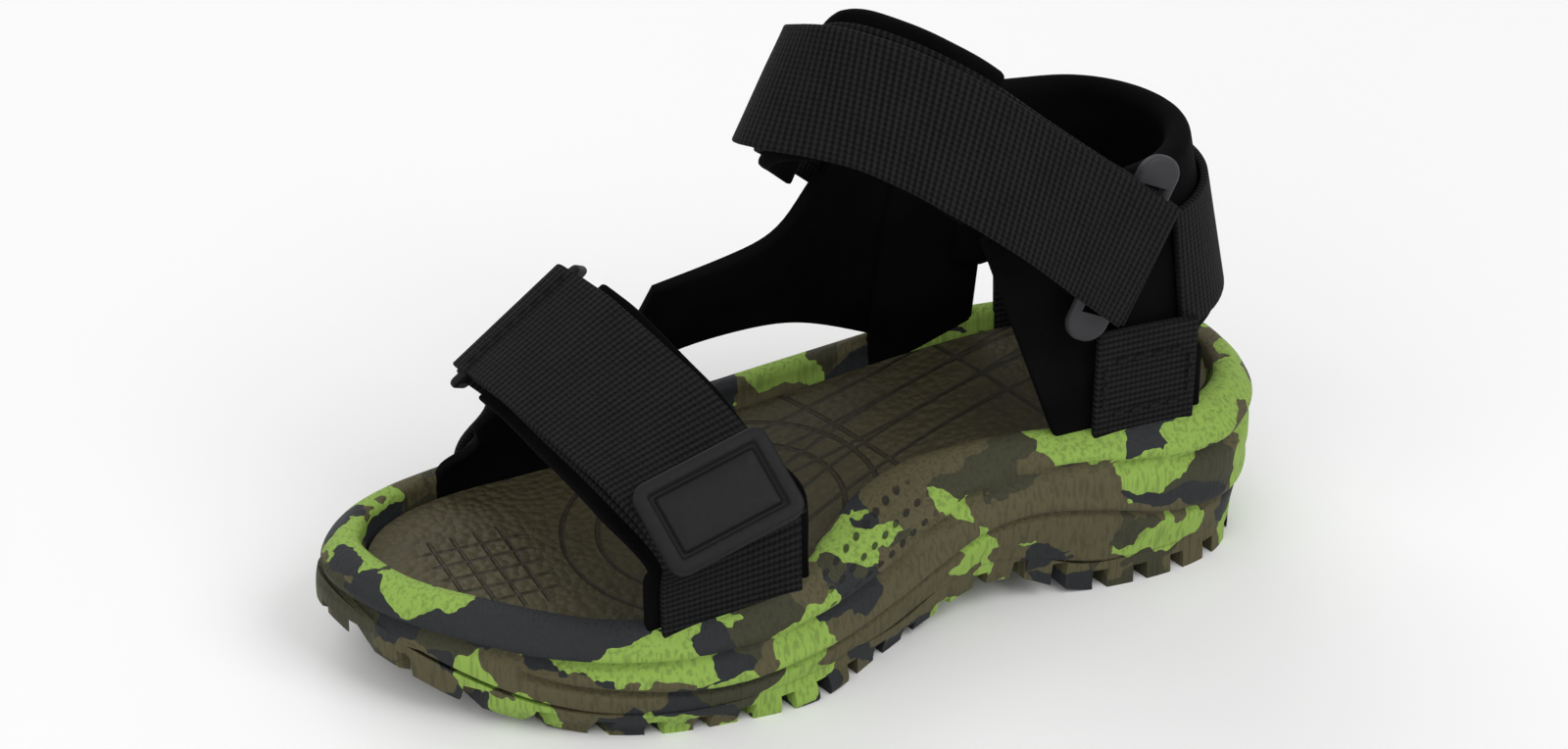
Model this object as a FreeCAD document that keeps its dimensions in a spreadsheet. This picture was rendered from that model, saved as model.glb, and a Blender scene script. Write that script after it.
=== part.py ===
"""Toddler's strappy sport sandal, left foot: lugged sole, webbing straps and neoprene lining.

Millimetres. +X points to the toe, +Y to the outer side of the foot, +Z up, and the
origin is on the ground under the middle of the sandal.
"""
import FreeCAD, Part
import math
import os
import Sketcher
from FreeCAD import Placement, Rotation, Vector

doc = FreeCAD.newDocument("sandal")

# --- driving dimensions -----------------------------------------------------------------
SIZES = [
    # sole
    ("sole_length", 166.0), ("sole_width", 70.0), ("toe_rim_height", 22.5), ("ball_rim_height", 20.5),
    ("arch_rim_height", 27.0), ("heel_rim_height", 31.5), ("toe_spring", 13.0), ("arch_lift", 6.0),
    ("shoulder_drop", 9.0), ("lip_width", 3.4), ("lug_height", 3.4), ("outsole_skin", 2.2),
    ("lug_pitch", 7.4), ("channel_width", 2.6), ("footbed_drop", 3.6), ("footbed_thick", 4.0),
    ("footbed_groove", 1.2), ("glue_line", 0.15), ("slot_depth", 8.0),
    # soft goods
    ("toe_webbing_width", 25.0), ("ankle_webbing_width", 22.5), ("webbing_thick", 1.4),
    ("lining_thick", 2.4), ("lining_margin", 2.0), ("hook_thick", 0.9), ("loop_thick", 0.9),
    ("patch_margin", 2.0), ("sewn_gap", 0.18), ("free_gap", 0.3), ("collar_thick", 5.0),
    ("heel_webbing_width", 22.5), ("anchor_width", 19.0), ("panel_thick", 2.4),
    # plastic and rubber fittings
    ("ring_thick", 2.0), ("ring_half_width", 4.0), ("ring_bar", 1.9), ("ring_side_room", 0.8),
    ("ring_end", 5.2), ("toe_bar", 1.6), ("toe_ring_reach", 6.4), ("bar_room", 0.15),
    ("badge_length", 24.5), ("badge_height", 16.5), ("badge_thick", 2.6), ("badge_inset_depth", 0.9),
    ("badge_border", 3.6), ("badge_corner", 2.6), ("badge_groove", 0.5), ("badge_lift", 0.3),
    # where the straps stand on the sole, along X
    ("toe_outer_seat_x", 26.5), ("toe_inner_seat_x", 38.5), ("quarter_seat_x", -52.0),
    ("panel_seat_x", -33.5), ("inner_anchor_x", -57.0), ("quarter_seat_length", 28.0),
    ("panel_seat_length", 20.0), ("toe_lining_seat_x", 41.0), ("toe_lining_length", 30.0),
    ("lean_room", 0.9),
    # heights of the upper
    ("toe_strap_height", 53.5), ("ankle_strap_height", 97.5), ("ankle_buckle_height", 63.7),
    ("collar_bottom", 43.0), ("collar_top", 79.0), ("stitch_pitch", 3.0), ("stitch_size", 0.8),
]
sheet = doc.addObject("Spreadsheet::Sheet", "sizes")
for row, (name, value) in enumerate(SIZES, start=1):
    sheet.set("A%d" % row, name)
    sheet.set("B%d" % row, str(value))
    sheet.setAlias("B%d" % row, name)
doc.recompute()


def size(name):
    """One driving dimension, as a number."""
    return float(sheet.get(name))


NODES = []


def add_solid(name, shape):
    """A sub-part whose shape comes from Part's own functions."""
    feature = doc.addObject("Part::Feature", name)
    feature.Shape = shape
    feature.Placement = Placement()
    feature.Label = name
    NODES.append(feature)
    return feature


# --- sole outlines ----------------------------------------------------------------------
# Matching points of the sidewall's widest line and of the footbed's edge, from the toe round
# the outer side to the heel and back: x as a share of the length, y of the width.
SIDEWALL = [
    (0.500, -0.143), (0.479, 0.029), (0.434, 0.179), (0.349, 0.371), (0.253, 0.493), (0.163, 0.529),
    (0.072, 0.500), (-0.012, 0.436), (-0.096, 0.371), (-0.181, 0.357), (-0.277, 0.386),
    (-0.361, 0.386), (-0.434, 0.336), (-0.482, 0.200), (-0.500, 0.029), (-0.488, -0.143),
    (-0.446, -0.271), (-0.373, -0.343), (-0.277, -0.379), (-0.169, -0.400), (-0.048, -0.421),
    (0.072, -0.450), (0.193, -0.471), (0.301, -0.464), (0.392, -0.421), (0.458, -0.321),
]
FOOTBED = [
    (0.446, -0.129), (0.422, 0.029), (0.373, 0.157), (0.301, 0.300), (0.229, 0.386), (0.157, 0.414),
    (0.084, 0.393), (0.030, 0.300), (-0.024, 0.214), (-0.090, 0.179), (-0.193, 0.214),
    (-0.301, 0.264), (-0.380, 0.250), (-0.434, 0.171), (-0.455, 0.029), (-0.440, -0.114),
    (-0.392, -0.221), (-0.313, -0.271), (-0.217, -0.293), (-0.108, -0.307), (0.000, -0.329),
    (0.120, -0.357), (0.241, -0.364), (0.337, -0.350), (0.404, -0.286), (0.434, -0.214),
]


def scaled(points):
    """An outline's points at the sandal's real size."""
    return [(x * size("sole_length"), y * size("sole_width")) for x, y in points]


def closed_curve(points, z):
    """A smooth closed wire through plan points, flat at height z."""
    curve = Part.BSplineCurve()
    curve.interpolate(Points=[Vector(x, y, z) for x, y in points], PeriodicFlag=True)
    return Part.Wire([curve.toShape()])


def moved_out(points, distance):
    """Plan points moved square to their outline, outwards for a positive distance."""
    result = []
    count = len(points)
    for i, (x, y) in enumerate(points):
        ax, ay = points[i - 1]
        bx, by = points[(i + 1) % count]
        length = math.hypot(bx - ax, by - ay)
        result.append((x + (by - ay) / length * distance, y - (bx - ax) / length * distance))
    return result


def open_curve(points):
    """A smooth open curve through (x, z) points of the side view."""
    curve = Part.BSplineCurve()
    curve.interpolate(Points=[Vector(x, 0, z) for x, z in points])
    return curve


half_length = size("sole_length") / 2
SIDE_REACH = 1.03  # the side view's lines run a little past the toe and the heel


def rim_line(lift=0.0):
    """Side view of the rim: (x, z) from heel to toe."""
    return [
        (-SIDE_REACH * half_length, size("heel_rim_height") - 0.8 + lift),
        (-0.55 * half_length, size("heel_rim_height") + lift),
        (-0.12 * half_length, size("arch_rim_height") + lift),
        (0.30 * half_length, size("ball_rim_height") + 1.0 + lift),
        (0.62 * half_length, size("ball_rim_height") + lift),
        (SIDE_REACH * half_length, size("toe_rim_height") + lift),
    ]


# Side view of the ground side: straight where the lugs stand, lifted at the arch and the toe.
HEEL_FLAT = (-0.86 * half_length, -0.56 * half_length)
BALL_FLAT = (-0.04 * half_length, 0.56 * half_length)


def ground_edges(lift):
    """Side view of the sole's underside, raised by lift: edges from heel to toe."""
    heel_back = Vector(-SIDE_REACH * half_length, 0, 5.0 + lift)
    arch = Vector(-0.31 * half_length, 0, size("arch_lift") + lift)
    toe = Vector(SIDE_REACH * half_length, 0, size("toe_spring") + lift)
    flats = [Vector(x, 0, lift) for x in HEEL_FLAT + BALL_FLAT]

    def eased(a, b, a_slope, b_slope):
        """A curve from a to b with the given slopes."""
        curve = Part.BSplineCurve()
        curve.interpolate(Points=[a, b], InitialTangent=a_slope, FinalTangent=b_slope)
        return curve.toShape()

    level = Vector(1, 0, 0)
    return [
        eased(heel_back, flats[0], Vector(1, 0, -1), level),
        Part.LineSegment(flats[0], flats[1]).toShape(),
        eased(flats[1], arch, level, level),
        eased(arch, flats[2], level, level),
        Part.LineSegment(flats[2], flats[3]).toShape(),
        eased(flats[3], toe, level, Vector(1, 0, 0.55)),
    ]


def height_on(edges, x):
    """Height of a side-view line at x."""
    upright = Part.makeLine(Vector(x, 0, -50), Vector(x, 0, 150))
    for edge in edges:
        distance, pairs, _ = edge.distToShape(upright)
        if distance < 1e-4:
            return pairs[0][0].z
    raise ValueError("no height at x = %.1f" % x)


HALF_SPAN = size("sole_width")  # side-view bodies reach this far each way


def side_view_body(lower, upper):
    """A body between two side-view lines, right across the sandal."""
    low = Part.Wire(lower)
    high = Part.Wire(upper)
    start = Part.makeLine(low.OrderedVertexes[0].Point, high.OrderedVertexes[0].Point)
    end = Part.makeLine(low.OrderedVertexes[-1].Point, high.OrderedVertexes[-1].Point)
    face = Part.Face(Part.Wire(Part.sortEdges(lower + [end] + upper + [start])[0]))
    face.translate(Vector(0, -HALF_SPAN, 0))
    return face.extrude(Vector(0, 2 * HALF_SPAN, 0))


def level_line(z):
    """A straight side-view line at height z."""
    reach = SIDE_REACH * half_length
    return [Part.makeLine(Vector(-reach, 0, z), Vector(reach, 0, z))]


RIM = [open_curve(rim_line()).toShape()]


def sidewall_section(z):
    """Plan wire of the sidewall at height z: upright low down, rolling in to the rim's lip."""
    rim = open_curve(rim_line())
    points = []
    lip = moved_out(scaled(FOOTBED), size("lip_width"))
    wide = scaled(SIDEWALL)
    tucked = moved_out(wide, -2.6)
    for outer, low, inner in zip(wide, tucked, lip):
        below = height_on([rim.toShape()], outer[0]) - z
        roll = min(max(1 - below / size("shoulder_drop"), 0), 1)
        share = 1 - math.sqrt(1 - roll * roll)
        tuck = min(max((below - size("shoulder_drop") - 3) / 14, 0), 1)
        x = outer[0] + (inner[0] - outer[0]) * share + (low[0] - outer[0]) * tuck
        y = outer[1] + (inner[1] - outer[1]) * share + (low[1] - outer[1]) * tuck
        points.append((x, y))
    return closed_curve(points, z)


SECTION_HEIGHTS = [-1.0, 4.0, 8.0, 11.5, 14.5, 17.0, 19.0, 21.0, 23.0, 25.5, 28.0, 30.5, 33.5]
sole_block = Part.makeLoft([sidewall_section(z) for z in SECTION_HEIGHTS], True, False)


def flat_prism(points, low, high):
    """An upright body over a plan outline."""
    face = Part.Face(closed_curve(points, low))
    return face.extrude(Vector(0, 0, high - low))


# --- seats: where straps go down between footbed and rim ----------------------------------
FOOTBED_POINTS = closed_curve(scaled(FOOTBED), 0).discretize(400)


def footbed_edge(x, side):
    """Y of the footbed's edge at x, on the outer (+1) or inner (-1) side."""
    best = min((p for p in FOOTBED_POINTS if p.y * side > 0), key=lambda p: abs(p.x - x))
    return best.y


def edge_over(x, side, length, pick):
    """The least or greatest distance of the footbed's edge from the middle along a seat."""
    return pick(abs(footbed_edge(x + length * i / 8, side)) for i in range(-4, 5))


def seat_y(x, side, length, inner_layers, layer):
    """Y of a layer's middle where it stands in its slot, past the layers inside it."""
    return side * (edge_over(x, side, length, max) + size("free_gap") + inner_layers + layer / 2)


def slot_box(x, side, length, stack):
    """The slot that a stack of layers stands in."""
    room = size("free_gap")
    start = side * (edge_over(x, side, length, min) - size("footbed_groove"))
    end = side * (edge_over(x, side, length, max) + stack + 2 * room)
    low = height_on(RIM, x) - size("footbed_drop") - size("slot_depth") - room
    slot = Part.makeBox(length + 2 * room, abs(end - start), 60)
    slot.translate(Vector(x - length / 2 - room, min(start, end), low))
    return slot


def seat_bottom(x):
    """Height of a strap's lower end in its slot."""
    return height_on(RIM, x) - size("footbed_drop") - size("slot_depth") + size("free_gap")


web = size("webbing_thick")
lining = size("lining_thick")
panel = size("panel_thick")
sewn = size("sewn_gap")
lean = size("lean_room")
toe_lining_width = size("toe_webbing_width") + 2 * size("lining_margin")
SEATS = [
    (size("toe_outer_seat_x"), 1, toe_lining_width + lean, lining + sewn + web + size("free_gap")),
    (size("toe_lining_seat_x"), -1, size("toe_lining_length") + 4 * lean, lining + 2 * sewn + 2 * web + lean),
    (size("quarter_seat_x"), 1, size("quarter_seat_length"), panel + sewn + web + lean),
    (size("panel_seat_x"), -1, size("panel_seat_length"), panel + 2 * lean),
    (size("inner_anchor_x"), -1, size("anchor_width"), web + lean),
]

# --- sole pieces ------------------------------------------------------------------------
skin_top = size("lug_height") + size("outsole_skin")
outsole = sole_block.common(side_view_body(ground_edges(0), ground_edges(skin_top)))
channels = []
pitch = size("lug_pitch")
lane = 0.12 * size("sole_width")
CHEVRON = 14.0
count = int(size("sole_length") / pitch) + 1
for i in range(count):
    x = -half_length + (i + 0.5) * pitch
    for side in (-1, 0, 1):
        middle = x if side else x + pitch / 2
        if abs(middle) > half_length - 3:
            continue
        top = height_on(ground_edges(size("lug_height")), middle)
        reach = 2 * lane if side == 0 else size("sole_width")
        box = Part.makeBox(size("channel_width"), reach, top + 20)
        start = -lane if side == 0 else 0.0
        box.translate(Vector(-size("channel_width") / 2, start, -20))
        if side < 0:
            box.translate(Vector(0, -reach, 0))
        box.rotate(Vector(0, 0, 0), Vector(0, 0, 1), side * CHEVRON)
        box.translate(Vector(middle, side * lane, 0))
        channels.append(box)
for side in (-1, 1):
    lengthwise = side_view_body(level_line(-20), ground_edges(size("lug_height")))
    strip = Part.makeBox(size("sole_length") * 1.1, size("channel_width") * 0.8, 120)
    strip.translate(Vector(-0.55 * size("sole_length"), side * lane - size("channel_width") * 0.4, -40))
    channels.append(lengthwise.common(strip))
outsole = outsole.cut(channels)
add_solid("outsole", outsole)

midsole = sole_block.common(side_view_body(ground_edges(skin_top + size("glue_line")), RIM))
bed_low = [open_curve(rim_line(-size("footbed_drop") - size("footbed_thick"))).toShape()]
pocket = flat_prism(moved_out(scaled(FOOTBED), size("footbed_groove")), 0, 60)
pocket = pocket.common(side_view_body(bed_low, level_line(60)))
midsole = midsole.cut(pocket)
midsole = midsole.cut([slot_box(*seat) for seat in SEATS])
add_solid("midsole", midsole)

bed_base = [open_curve(rim_line(-size("footbed_drop") - size("footbed_thick") + size("glue_line"))).toShape()]
bed_top = [open_curve(rim_line(-size("footbed_drop"))).toShape()]
footbed = flat_prism(scaled(FOOTBED), 0, 60).common(side_view_body(bed_base, bed_top))
add_solid("footbed", footbed)


# --- straps: a ribbon between two edge curves --------------------------------------------
STATION = 3.2  # spacing of a ribbon's cross-sections


class Ribbon:
    """A band that runs along two edges; layers lie on it at given depths under its face."""

    def __init__(self, lows, highs):
        """lows and highs are matching points of the two edges."""
        knots = [0.0]
        for i in range(1, len(lows)):
            a = (Vector(*lows[i]) + Vector(*highs[i])) / 2
            b = (Vector(*lows[i - 1]) + Vector(*highs[i - 1])) / 2
            knots.append(knots[-1] + (a - b).Length)
        self.length = knots[-1]
        knots = [k / self.length for k in knots]
        self.low = Part.BSplineCurve()
        self.low.interpolate(Points=[Vector(*p) for p in lows], Parameters=knots)
        self.high = Part.BSplineCurve()
        self.high.interpolate(Points=[Vector(*p) for p in highs], Parameters=knots)

    def frame(self, u):
        """Middle, run, width and outward directions, and half the spacing of the edges."""
        low = self.low.value(u)
        high = self.high.value(u)
        step = 0.004
        a = max(u - step, 0)
        b = min(u + step, 1)
        run = (self.low.value(b) + self.high.value(b) - self.low.value(a) - self.high.value(a)).normalize()
        width = (high - low).normalize()
        out = run.cross(width).normalize()
        return (low + high) / 2, run, width, out, (high - low).Length / 2

    def section(self, u, depth, thick, half=None, shift=0.0):
        """A cross-section whose outer face lies depth under the ribbon's face."""
        middle, _, width, out, spacing = self.frame(u)
        half = half if half else spacing
        middle = middle + width * shift
        corners = [
            middle - width * half - out * depth,
            middle + width * half - out * depth,
            middle + width * half - out * (depth + thick),
            middle - width * half - out * (depth + thick),
        ]
        return Part.makePolygon(corners + corners[:1])

    def layer(self, start, end, depth, thick, half=None, shift=0.0):
        """A layer of even thickness from one place to another; all layers share their stations."""
        first, last = depth if isinstance(depth, tuple) else (depth, depth)
        stations = max(int(self.length / STATION), 2)
        close = 0.15 / stations
        places = [i / stations for i in range(stations + 1)]
        places = [start] + [u for u in places if start + close < u < end - close] + [end]
        sections = []
        for u in places:
            share = (u - start) / (end - start)
            sections.append(self.section(u, first + (last - first) * share, thick, half, shift))
        return Part.makeLoft(sections, True, True)


def lifted(points, name, nominal):
    """Edge points moved up by what a height differs from the one they were set out at."""
    rise = size(name) - nominal
    return [(x, y, z + rise) for x, y, z in points]


# depths of the strap layers under the flap's face
hook_depth = web + sewn
loop_depth = hook_depth + size("hook_thick") + size("free_gap")
base_depth = loop_depth + size("loop_thick") + sewn
lining_depth = base_depth + web + sewn

# --- toe strap --------------------------------------------------------------------------
TOE_HEIGHT_SET_OUT = 53.5
toe_half = size("toe_webbing_width") / 2
outer_x = size("toe_outer_seat_x")
outer_y = seat_y(outer_x, 1, toe_lining_width, lining + sewn, web)
toe_over_low = lifted(
    [(52.4, -23.8, 43.4), (51.2, -10.0, 45.6), (49.0, 3.0, 45.8), (46.0, 15.5, 45.0), (43.0, 26.5, 43.2)],
    "toe_strap_height", TOE_HEIGHT_SET_OUT)
toe_over_high = lifted(
    [(34.0, -22.0, 59.0), (30.5, -9.0, 59.4), (27.2, 3.0, 57.0), (23.4, 14.5, 53.6), (19.8, 25.0, 48.8)],
    "toe_strap_height", TOE_HEIGHT_SET_OUT)
face_y = outer_y + web / 2 + base_depth
toe_base_z = seat_bottom(outer_x)
rim_z = height_on(RIM, outer_x)
toe_down_low = [
    (37.6, face_y - 0.5, 33.0), (outer_x + toe_half, face_y, rim_z + 7.0),
    (outer_x + toe_half, face_y, rim_z - 0.5), (outer_x + toe_half, face_y, toe_base_z)]
toe_down_high = [
    (15.8, face_y - 0.5, 38.4), (outer_x - toe_half + 0.3, face_y, rim_z + 9.5),
    (outer_x - toe_half, face_y, rim_z - 0.5), (outer_x - toe_half, face_y, toe_base_z)]
toe = Ribbon(toe_over_low + toe_down_low, toe_over_high + toe_down_high)

# shares of the toe ribbon's run
TOE_HINGE = 4.0 / toe.length
TOE_FLAP_END = 66.0 / toe.length
seam = size("free_gap") / toe.length
margin = size("patch_margin")


def half_turn(centre, run, width, out, half, outer, inner):
    """Webbing turned half round a bar, open towards run."""
    def arc(radius):
        """Half a circle from the outer side round the back."""
        return Part.Arc(centre + out * radius, centre - run * radius, centre - out * radius).toShape()

    ends = [
        Part.makeLine(centre + out * outer, centre + out * inner),
        Part.makeLine(centre - out * outer, centre - out * inner),
    ]
    face = Part.Face(Part.Wire(Part.sortEdges([arc(outer), arc(inner)] + ends)[0]))
    face.translate(width * -half)
    return face.extrude(width * (2 * half))


def leg(centre, run, width, out, half, near, thick, reach):
    """A straight bit of webbing that leaves a turn, near being its height over the bar's middle."""
    corners = [
        centre + out * near - width * half,
        centre + out * near + width * half,
        centre + out * (near + thick) + width * half,
        centre + out * (near + thick) - width * half,
    ]
    return Part.Face(Part.makePolygon(corners + corners[:1])).extrude(run * reach)


toe_base = toe.layer(0, 1, base_depth, web, toe_half)
toe_strip = toe.layer(0, TOE_HINGE, 0, web, toe_half)
middle, run, width, out, _ = toe.frame(0)
turn_outer = (base_depth + web) / 2
turn_inner = turn_outer - web
toe_bar_centre = middle - out * turn_outer
toe_turn = half_turn(toe_bar_centre, run, width, out, toe_half, turn_outer, turn_inner)
add_solid("toe_strap_base", toe_base.fuse([toe_turn, toe_strip]).removeSplitter())
add_solid("toe_strap_flap", toe.layer(TOE_HINGE + seam, TOE_FLAP_END, 0, web, toe_half))
add_solid("toe_strap_hook_patch", toe.layer(
    TOE_HINGE + 8 / toe.length, TOE_FLAP_END - 2 / toe.length, hook_depth, size("hook_thick"),
    toe_half - margin))
add_solid("toe_strap_loop_patch", toe.layer(
    TOE_HINGE + 6 / toe.length, TOE_FLAP_END - 1 / toe.length, loop_depth, size("loop_thick"),
    toe_half - margin))
add_solid("toe_strap_lining", toe.layer(
    4.0 / toe.length, 1, lining_depth, lining, toe_half + size("lining_margin")))


# --- rings: flat loops with two bars ------------------------------------------------------
def origin_plane(body, role):
    """One of a body's own origin planes."""
    return [f for f in body.Origin.OriginFeatures if f.Role == role][0]


def rectangle_sketch(body, name, length, height):
    """A centred rectangle whose two sides are bound to expressions."""
    sketch = body.newObject("Sketcher::SketchObject", name)
    sketch.AttachmentSupport = [(origin_plane(body, "XY_Plane"), "")]
    sketch.MapMode = "FlatFace"
    corners = [Vector(-5, -4, 0), Vector(5, -4, 0), Vector(5, 4, 0), Vector(-5, 4, 0)]
    for i in range(4):
        sketch.addGeometry(Part.LineSegment(corners[i], corners[(i + 1) % 4]), False)
    for i in range(4):
        sketch.addConstraint(Sketcher.Constraint("Coincident", i, 2, (i + 1) % 4, 1))
    sketch.addConstraint(Sketcher.Constraint("Horizontal", 0))
    sketch.addConstraint(Sketcher.Constraint("Horizontal", 2))
    sketch.addConstraint(Sketcher.Constraint("Vertical", 1))
    sketch.addConstraint(Sketcher.Constraint("Vertical", 3))
    sketch.addConstraint(Sketcher.Constraint("Symmetric", 0, 1, 1, 2, -1, 1))
    across = sketch.addConstraint(Sketcher.Constraint("DistanceX", 0, 1, 0, 2, 10))
    along = sketch.addConstraint(Sketcher.Constraint("DistanceY", 1, 1, 1, 2, 8))
    sketch.setExpression("Constraints[%d]" % across, length)
    sketch.setExpression("Constraints[%d]" % along, height)
    return sketch


def edges_between(shape, shortest, test):
    """Names of the edges that pass a test, longer than shortest."""
    return ["Edge%d" % (i + 1) for i, e in enumerate(shape.Edges) if e.Length > shortest and test(e)]


def is_upright(edge):
    """True for an edge along local Z."""
    a, b = edge.Vertexes[0].Point, edge.Vertexes[-1].Point
    return abs(a.x - b.x) < 1e-6 and abs(a.y - b.y) < 1e-6


def ring_body(name, length, height, hole_length, hole_height, thick, corner, rounding):
    """A flat loop: rounded rectangle with a rounded slot, made round all over."""
    body = doc.addObject("PartDesign::Body", name)
    pad = body.newObject("PartDesign::Pad", name + "_pad")
    pad.Profile = rectangle_sketch(body, name + "_outline", length, height)
    pad.setExpression("Length", thick)
    pad.Midplane = True
    doc.recompute()
    ends = body.newObject("PartDesign::Fillet", name + "_ends")
    ends.Base = (pad, edges_between(pad.Shape, 0.5, is_upright))
    ends.setExpression("Radius", corner)
    doc.recompute()
    soft = body.newObject("PartDesign::Fillet", name + "_rounding")
    soft.Base = (ends, edges_between(ends.Shape, 0.5, lambda e: not is_upright(e)))
    soft.setExpression("Radius", rounding)
    hole = body.newObject("PartDesign::Pocket", name + "_slot")
    hole.Profile = rectangle_sketch(body, name + "_opening", hole_length, hole_height)
    hole.Type = "ThroughAll"
    hole.Midplane = True
    doc.recompute()
    rim = hole.Profile[0].Shape.BoundBox

    def is_bar_edge(edge):
        """True for the slot's long edges."""
        y = edge.Vertexes[0].Point.y
        return edge.Length > 0.9 * rim.XLength and abs(abs(y) - rim.YLength / 2) < 1e-4

    bars = body.newObject("PartDesign::Fillet", name + "_bars")
    bars.Base = (hole, edges_between(hole.Shape, 0.5, is_bar_edge))
    bars.setExpression("Radius", rounding)
    body.Tip = bars
    body.Label = name
    doc.recompute()
    NODES.append(body)
    return body


def place(feature, centre, x_axis, y_axis):
    """Stand a sub-part at centre with its own X and Y along two directions."""
    z_axis = x_axis.cross(y_axis)
    feature.Placement = Placement(centre, Rotation(x_axis, y_axis, z_axis, "XYZ"))


toe_ring = ring_body(
    "toe_ring",
    "sizes.toe_webbing_width + 2 * sizes.ring_side_room + 2 * sizes.toe_bar",
    "sizes.toe_ring_reach + sizes.toe_bar",
    "sizes.toe_webbing_width + 2 * sizes.ring_side_room",
    "sizes.toe_ring_reach - sizes.toe_bar", "sizes.toe_bar", "sizes.toe_bar", "sizes.toe_bar * 0.45")
down = (run * -0.75 - out * 0.66).normalize()
reach = size("toe_ring_reach")
place(toe_ring, toe_bar_centre + down * (reach / 2), width, down)
lower_bar = toe_bar_centre + down * reach

# --- toe anchor: webbing doubled round the ring's lower bar, standing in the sole -----------
inner_x = size("toe_inner_seat_x")
anchor_up = (Vector(0, 0, 1) - width * width.z).normalize()
anchor_out = anchor_up.cross(width).normalize()
doubled = lining + 2 * sewn + web
stack_y = seat_y(size("toe_lining_seat_x"), -1, size("toe_lining_length"), doubled, web) - web / 2
anchor_base = seat_bottom(inner_x)
inner_rim = height_on(RIM, inner_x)


def anchor_ribbon(top):
    """The anchor's band from its seat up to a given middle of its top edge."""
    under = top - anchor_up * 5.0
    return Ribbon(
        [(inner_x + toe_half, stack_y, anchor_base), (inner_x + toe_half, stack_y, inner_rim),
         tuple(under - width * toe_half), tuple(top - width * toe_half)],
        [(inner_x - toe_half, stack_y, anchor_base), (inner_x - toe_half, stack_y, inner_rim),
         tuple(under + width * toe_half), tuple(top + width * toe_half)])


top_middle = lower_bar + anchor_out * turn_outer
for attempt in range(4):
    toe_anchor = anchor_ribbon(top_middle)
    end_middle, end_run, end_width, end_out, _ = toe_anchor.frame(1)
    bar_turn_centre = end_middle - end_out * turn_outer
    top_middle = top_middle + lower_bar - bar_turn_centre
outer_leg = toe_anchor.layer(0, 1, 0, web, toe_half)
inner_leg = toe_anchor.layer(0, 1, (web + sewn, turn_outer + turn_inner), web, toe_half)
bar_run = end_width.cross(end_out)
bar_turn = half_turn(bar_turn_centre, bar_run * (-1 if bar_run.dot(end_run) > 0 else 1), end_width, end_out, toe_half, turn_outer, turn_inner)
add_solid("toe_inner_anchor", outer_leg.fuse([bar_turn, inner_leg]).removeSplitter())
LINING_TOP = 0.86  # how far up the anchor its lining reaches
lining_start = 2 * (web + sewn)
lining_end = lining_start + (turn_outer + turn_inner + web + sewn - lining_start) * LINING_TOP
add_solid("toe_anchor_lining", toe_anchor.layer(
    0, LINING_TOP, (lining_start, lining_end + sewn), lining, size("toe_lining_length") / 2,
    inner_x - size("toe_lining_seat_x")))


# --- badge at the toe flap's end ------------------------------------------------------------
def slab_body(name, length, height, thick, corner, recess=None):
    """A rounded slab, with a rounded recess from its top if sizes for one are given."""
    body = doc.addObject("PartDesign::Body", name)
    pad = body.newObject("PartDesign::Pad", name + "_pad")
    pad.Profile = rectangle_sketch(body, name + "_outline", length, height)
    pad.setExpression("Length", thick)
    doc.recompute()
    tip = body.newObject("PartDesign::Fillet", name + "_corners")
    tip.Base = (pad, edges_between(pad.Shape, 0.5, is_upright))
    tip.setExpression("Radius", corner)
    if recess:
        recess_length, recess_height, left = recess
        pocket_cut = body.newObject("PartDesign::Pocket", name + "_recess")
        opening = rectangle_sketch(body, name + "_opening", recess_length, recess_height)
        opening.setExpression(".AttachmentOffset.Base.z", left)
        pocket_cut.Profile = opening
        pocket_cut.Type = "ThroughAll"
        pocket_cut.Reversed = True
        tip = pocket_cut
    body.Tip = tip
    body.Label = name
    doc.recompute()
    NODES.append(body)
    return body


badge = slab_body(
    "badge_frame", "sizes.badge_length", "sizes.badge_height", "sizes.badge_thick",
    "sizes.badge_corner",
    ("sizes.badge_length - 2 * sizes.badge_border", "sizes.badge_height - 2 * sizes.badge_border",
     "sizes.badge_thick - sizes.badge_inset_depth"))
inset = slab_body(
    "badge_inlay",
    "sizes.badge_length - 2 * sizes.badge_border - 2 * sizes.badge_groove",
    "sizes.badge_height - 2 * sizes.badge_border - 2 * sizes.badge_groove",
    "sizes.badge_inset_depth", "sizes.badge_groove * 2")
badge_u = TOE_FLAP_END - (size("badge_height") / 2 - 0.5) / toe.length
b_middle, b_run, b_width, b_out, _ = toe.frame(badge_u)
lift = b_out * size("badge_lift")
place(badge, b_middle + lift, b_width, b_run * -1)
place(inset, b_middle + lift + b_width.cross(b_run * -1) * (
    size("badge_thick") - size("badge_inset_depth") + size("glue_line")), b_width, b_run * -1)

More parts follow.
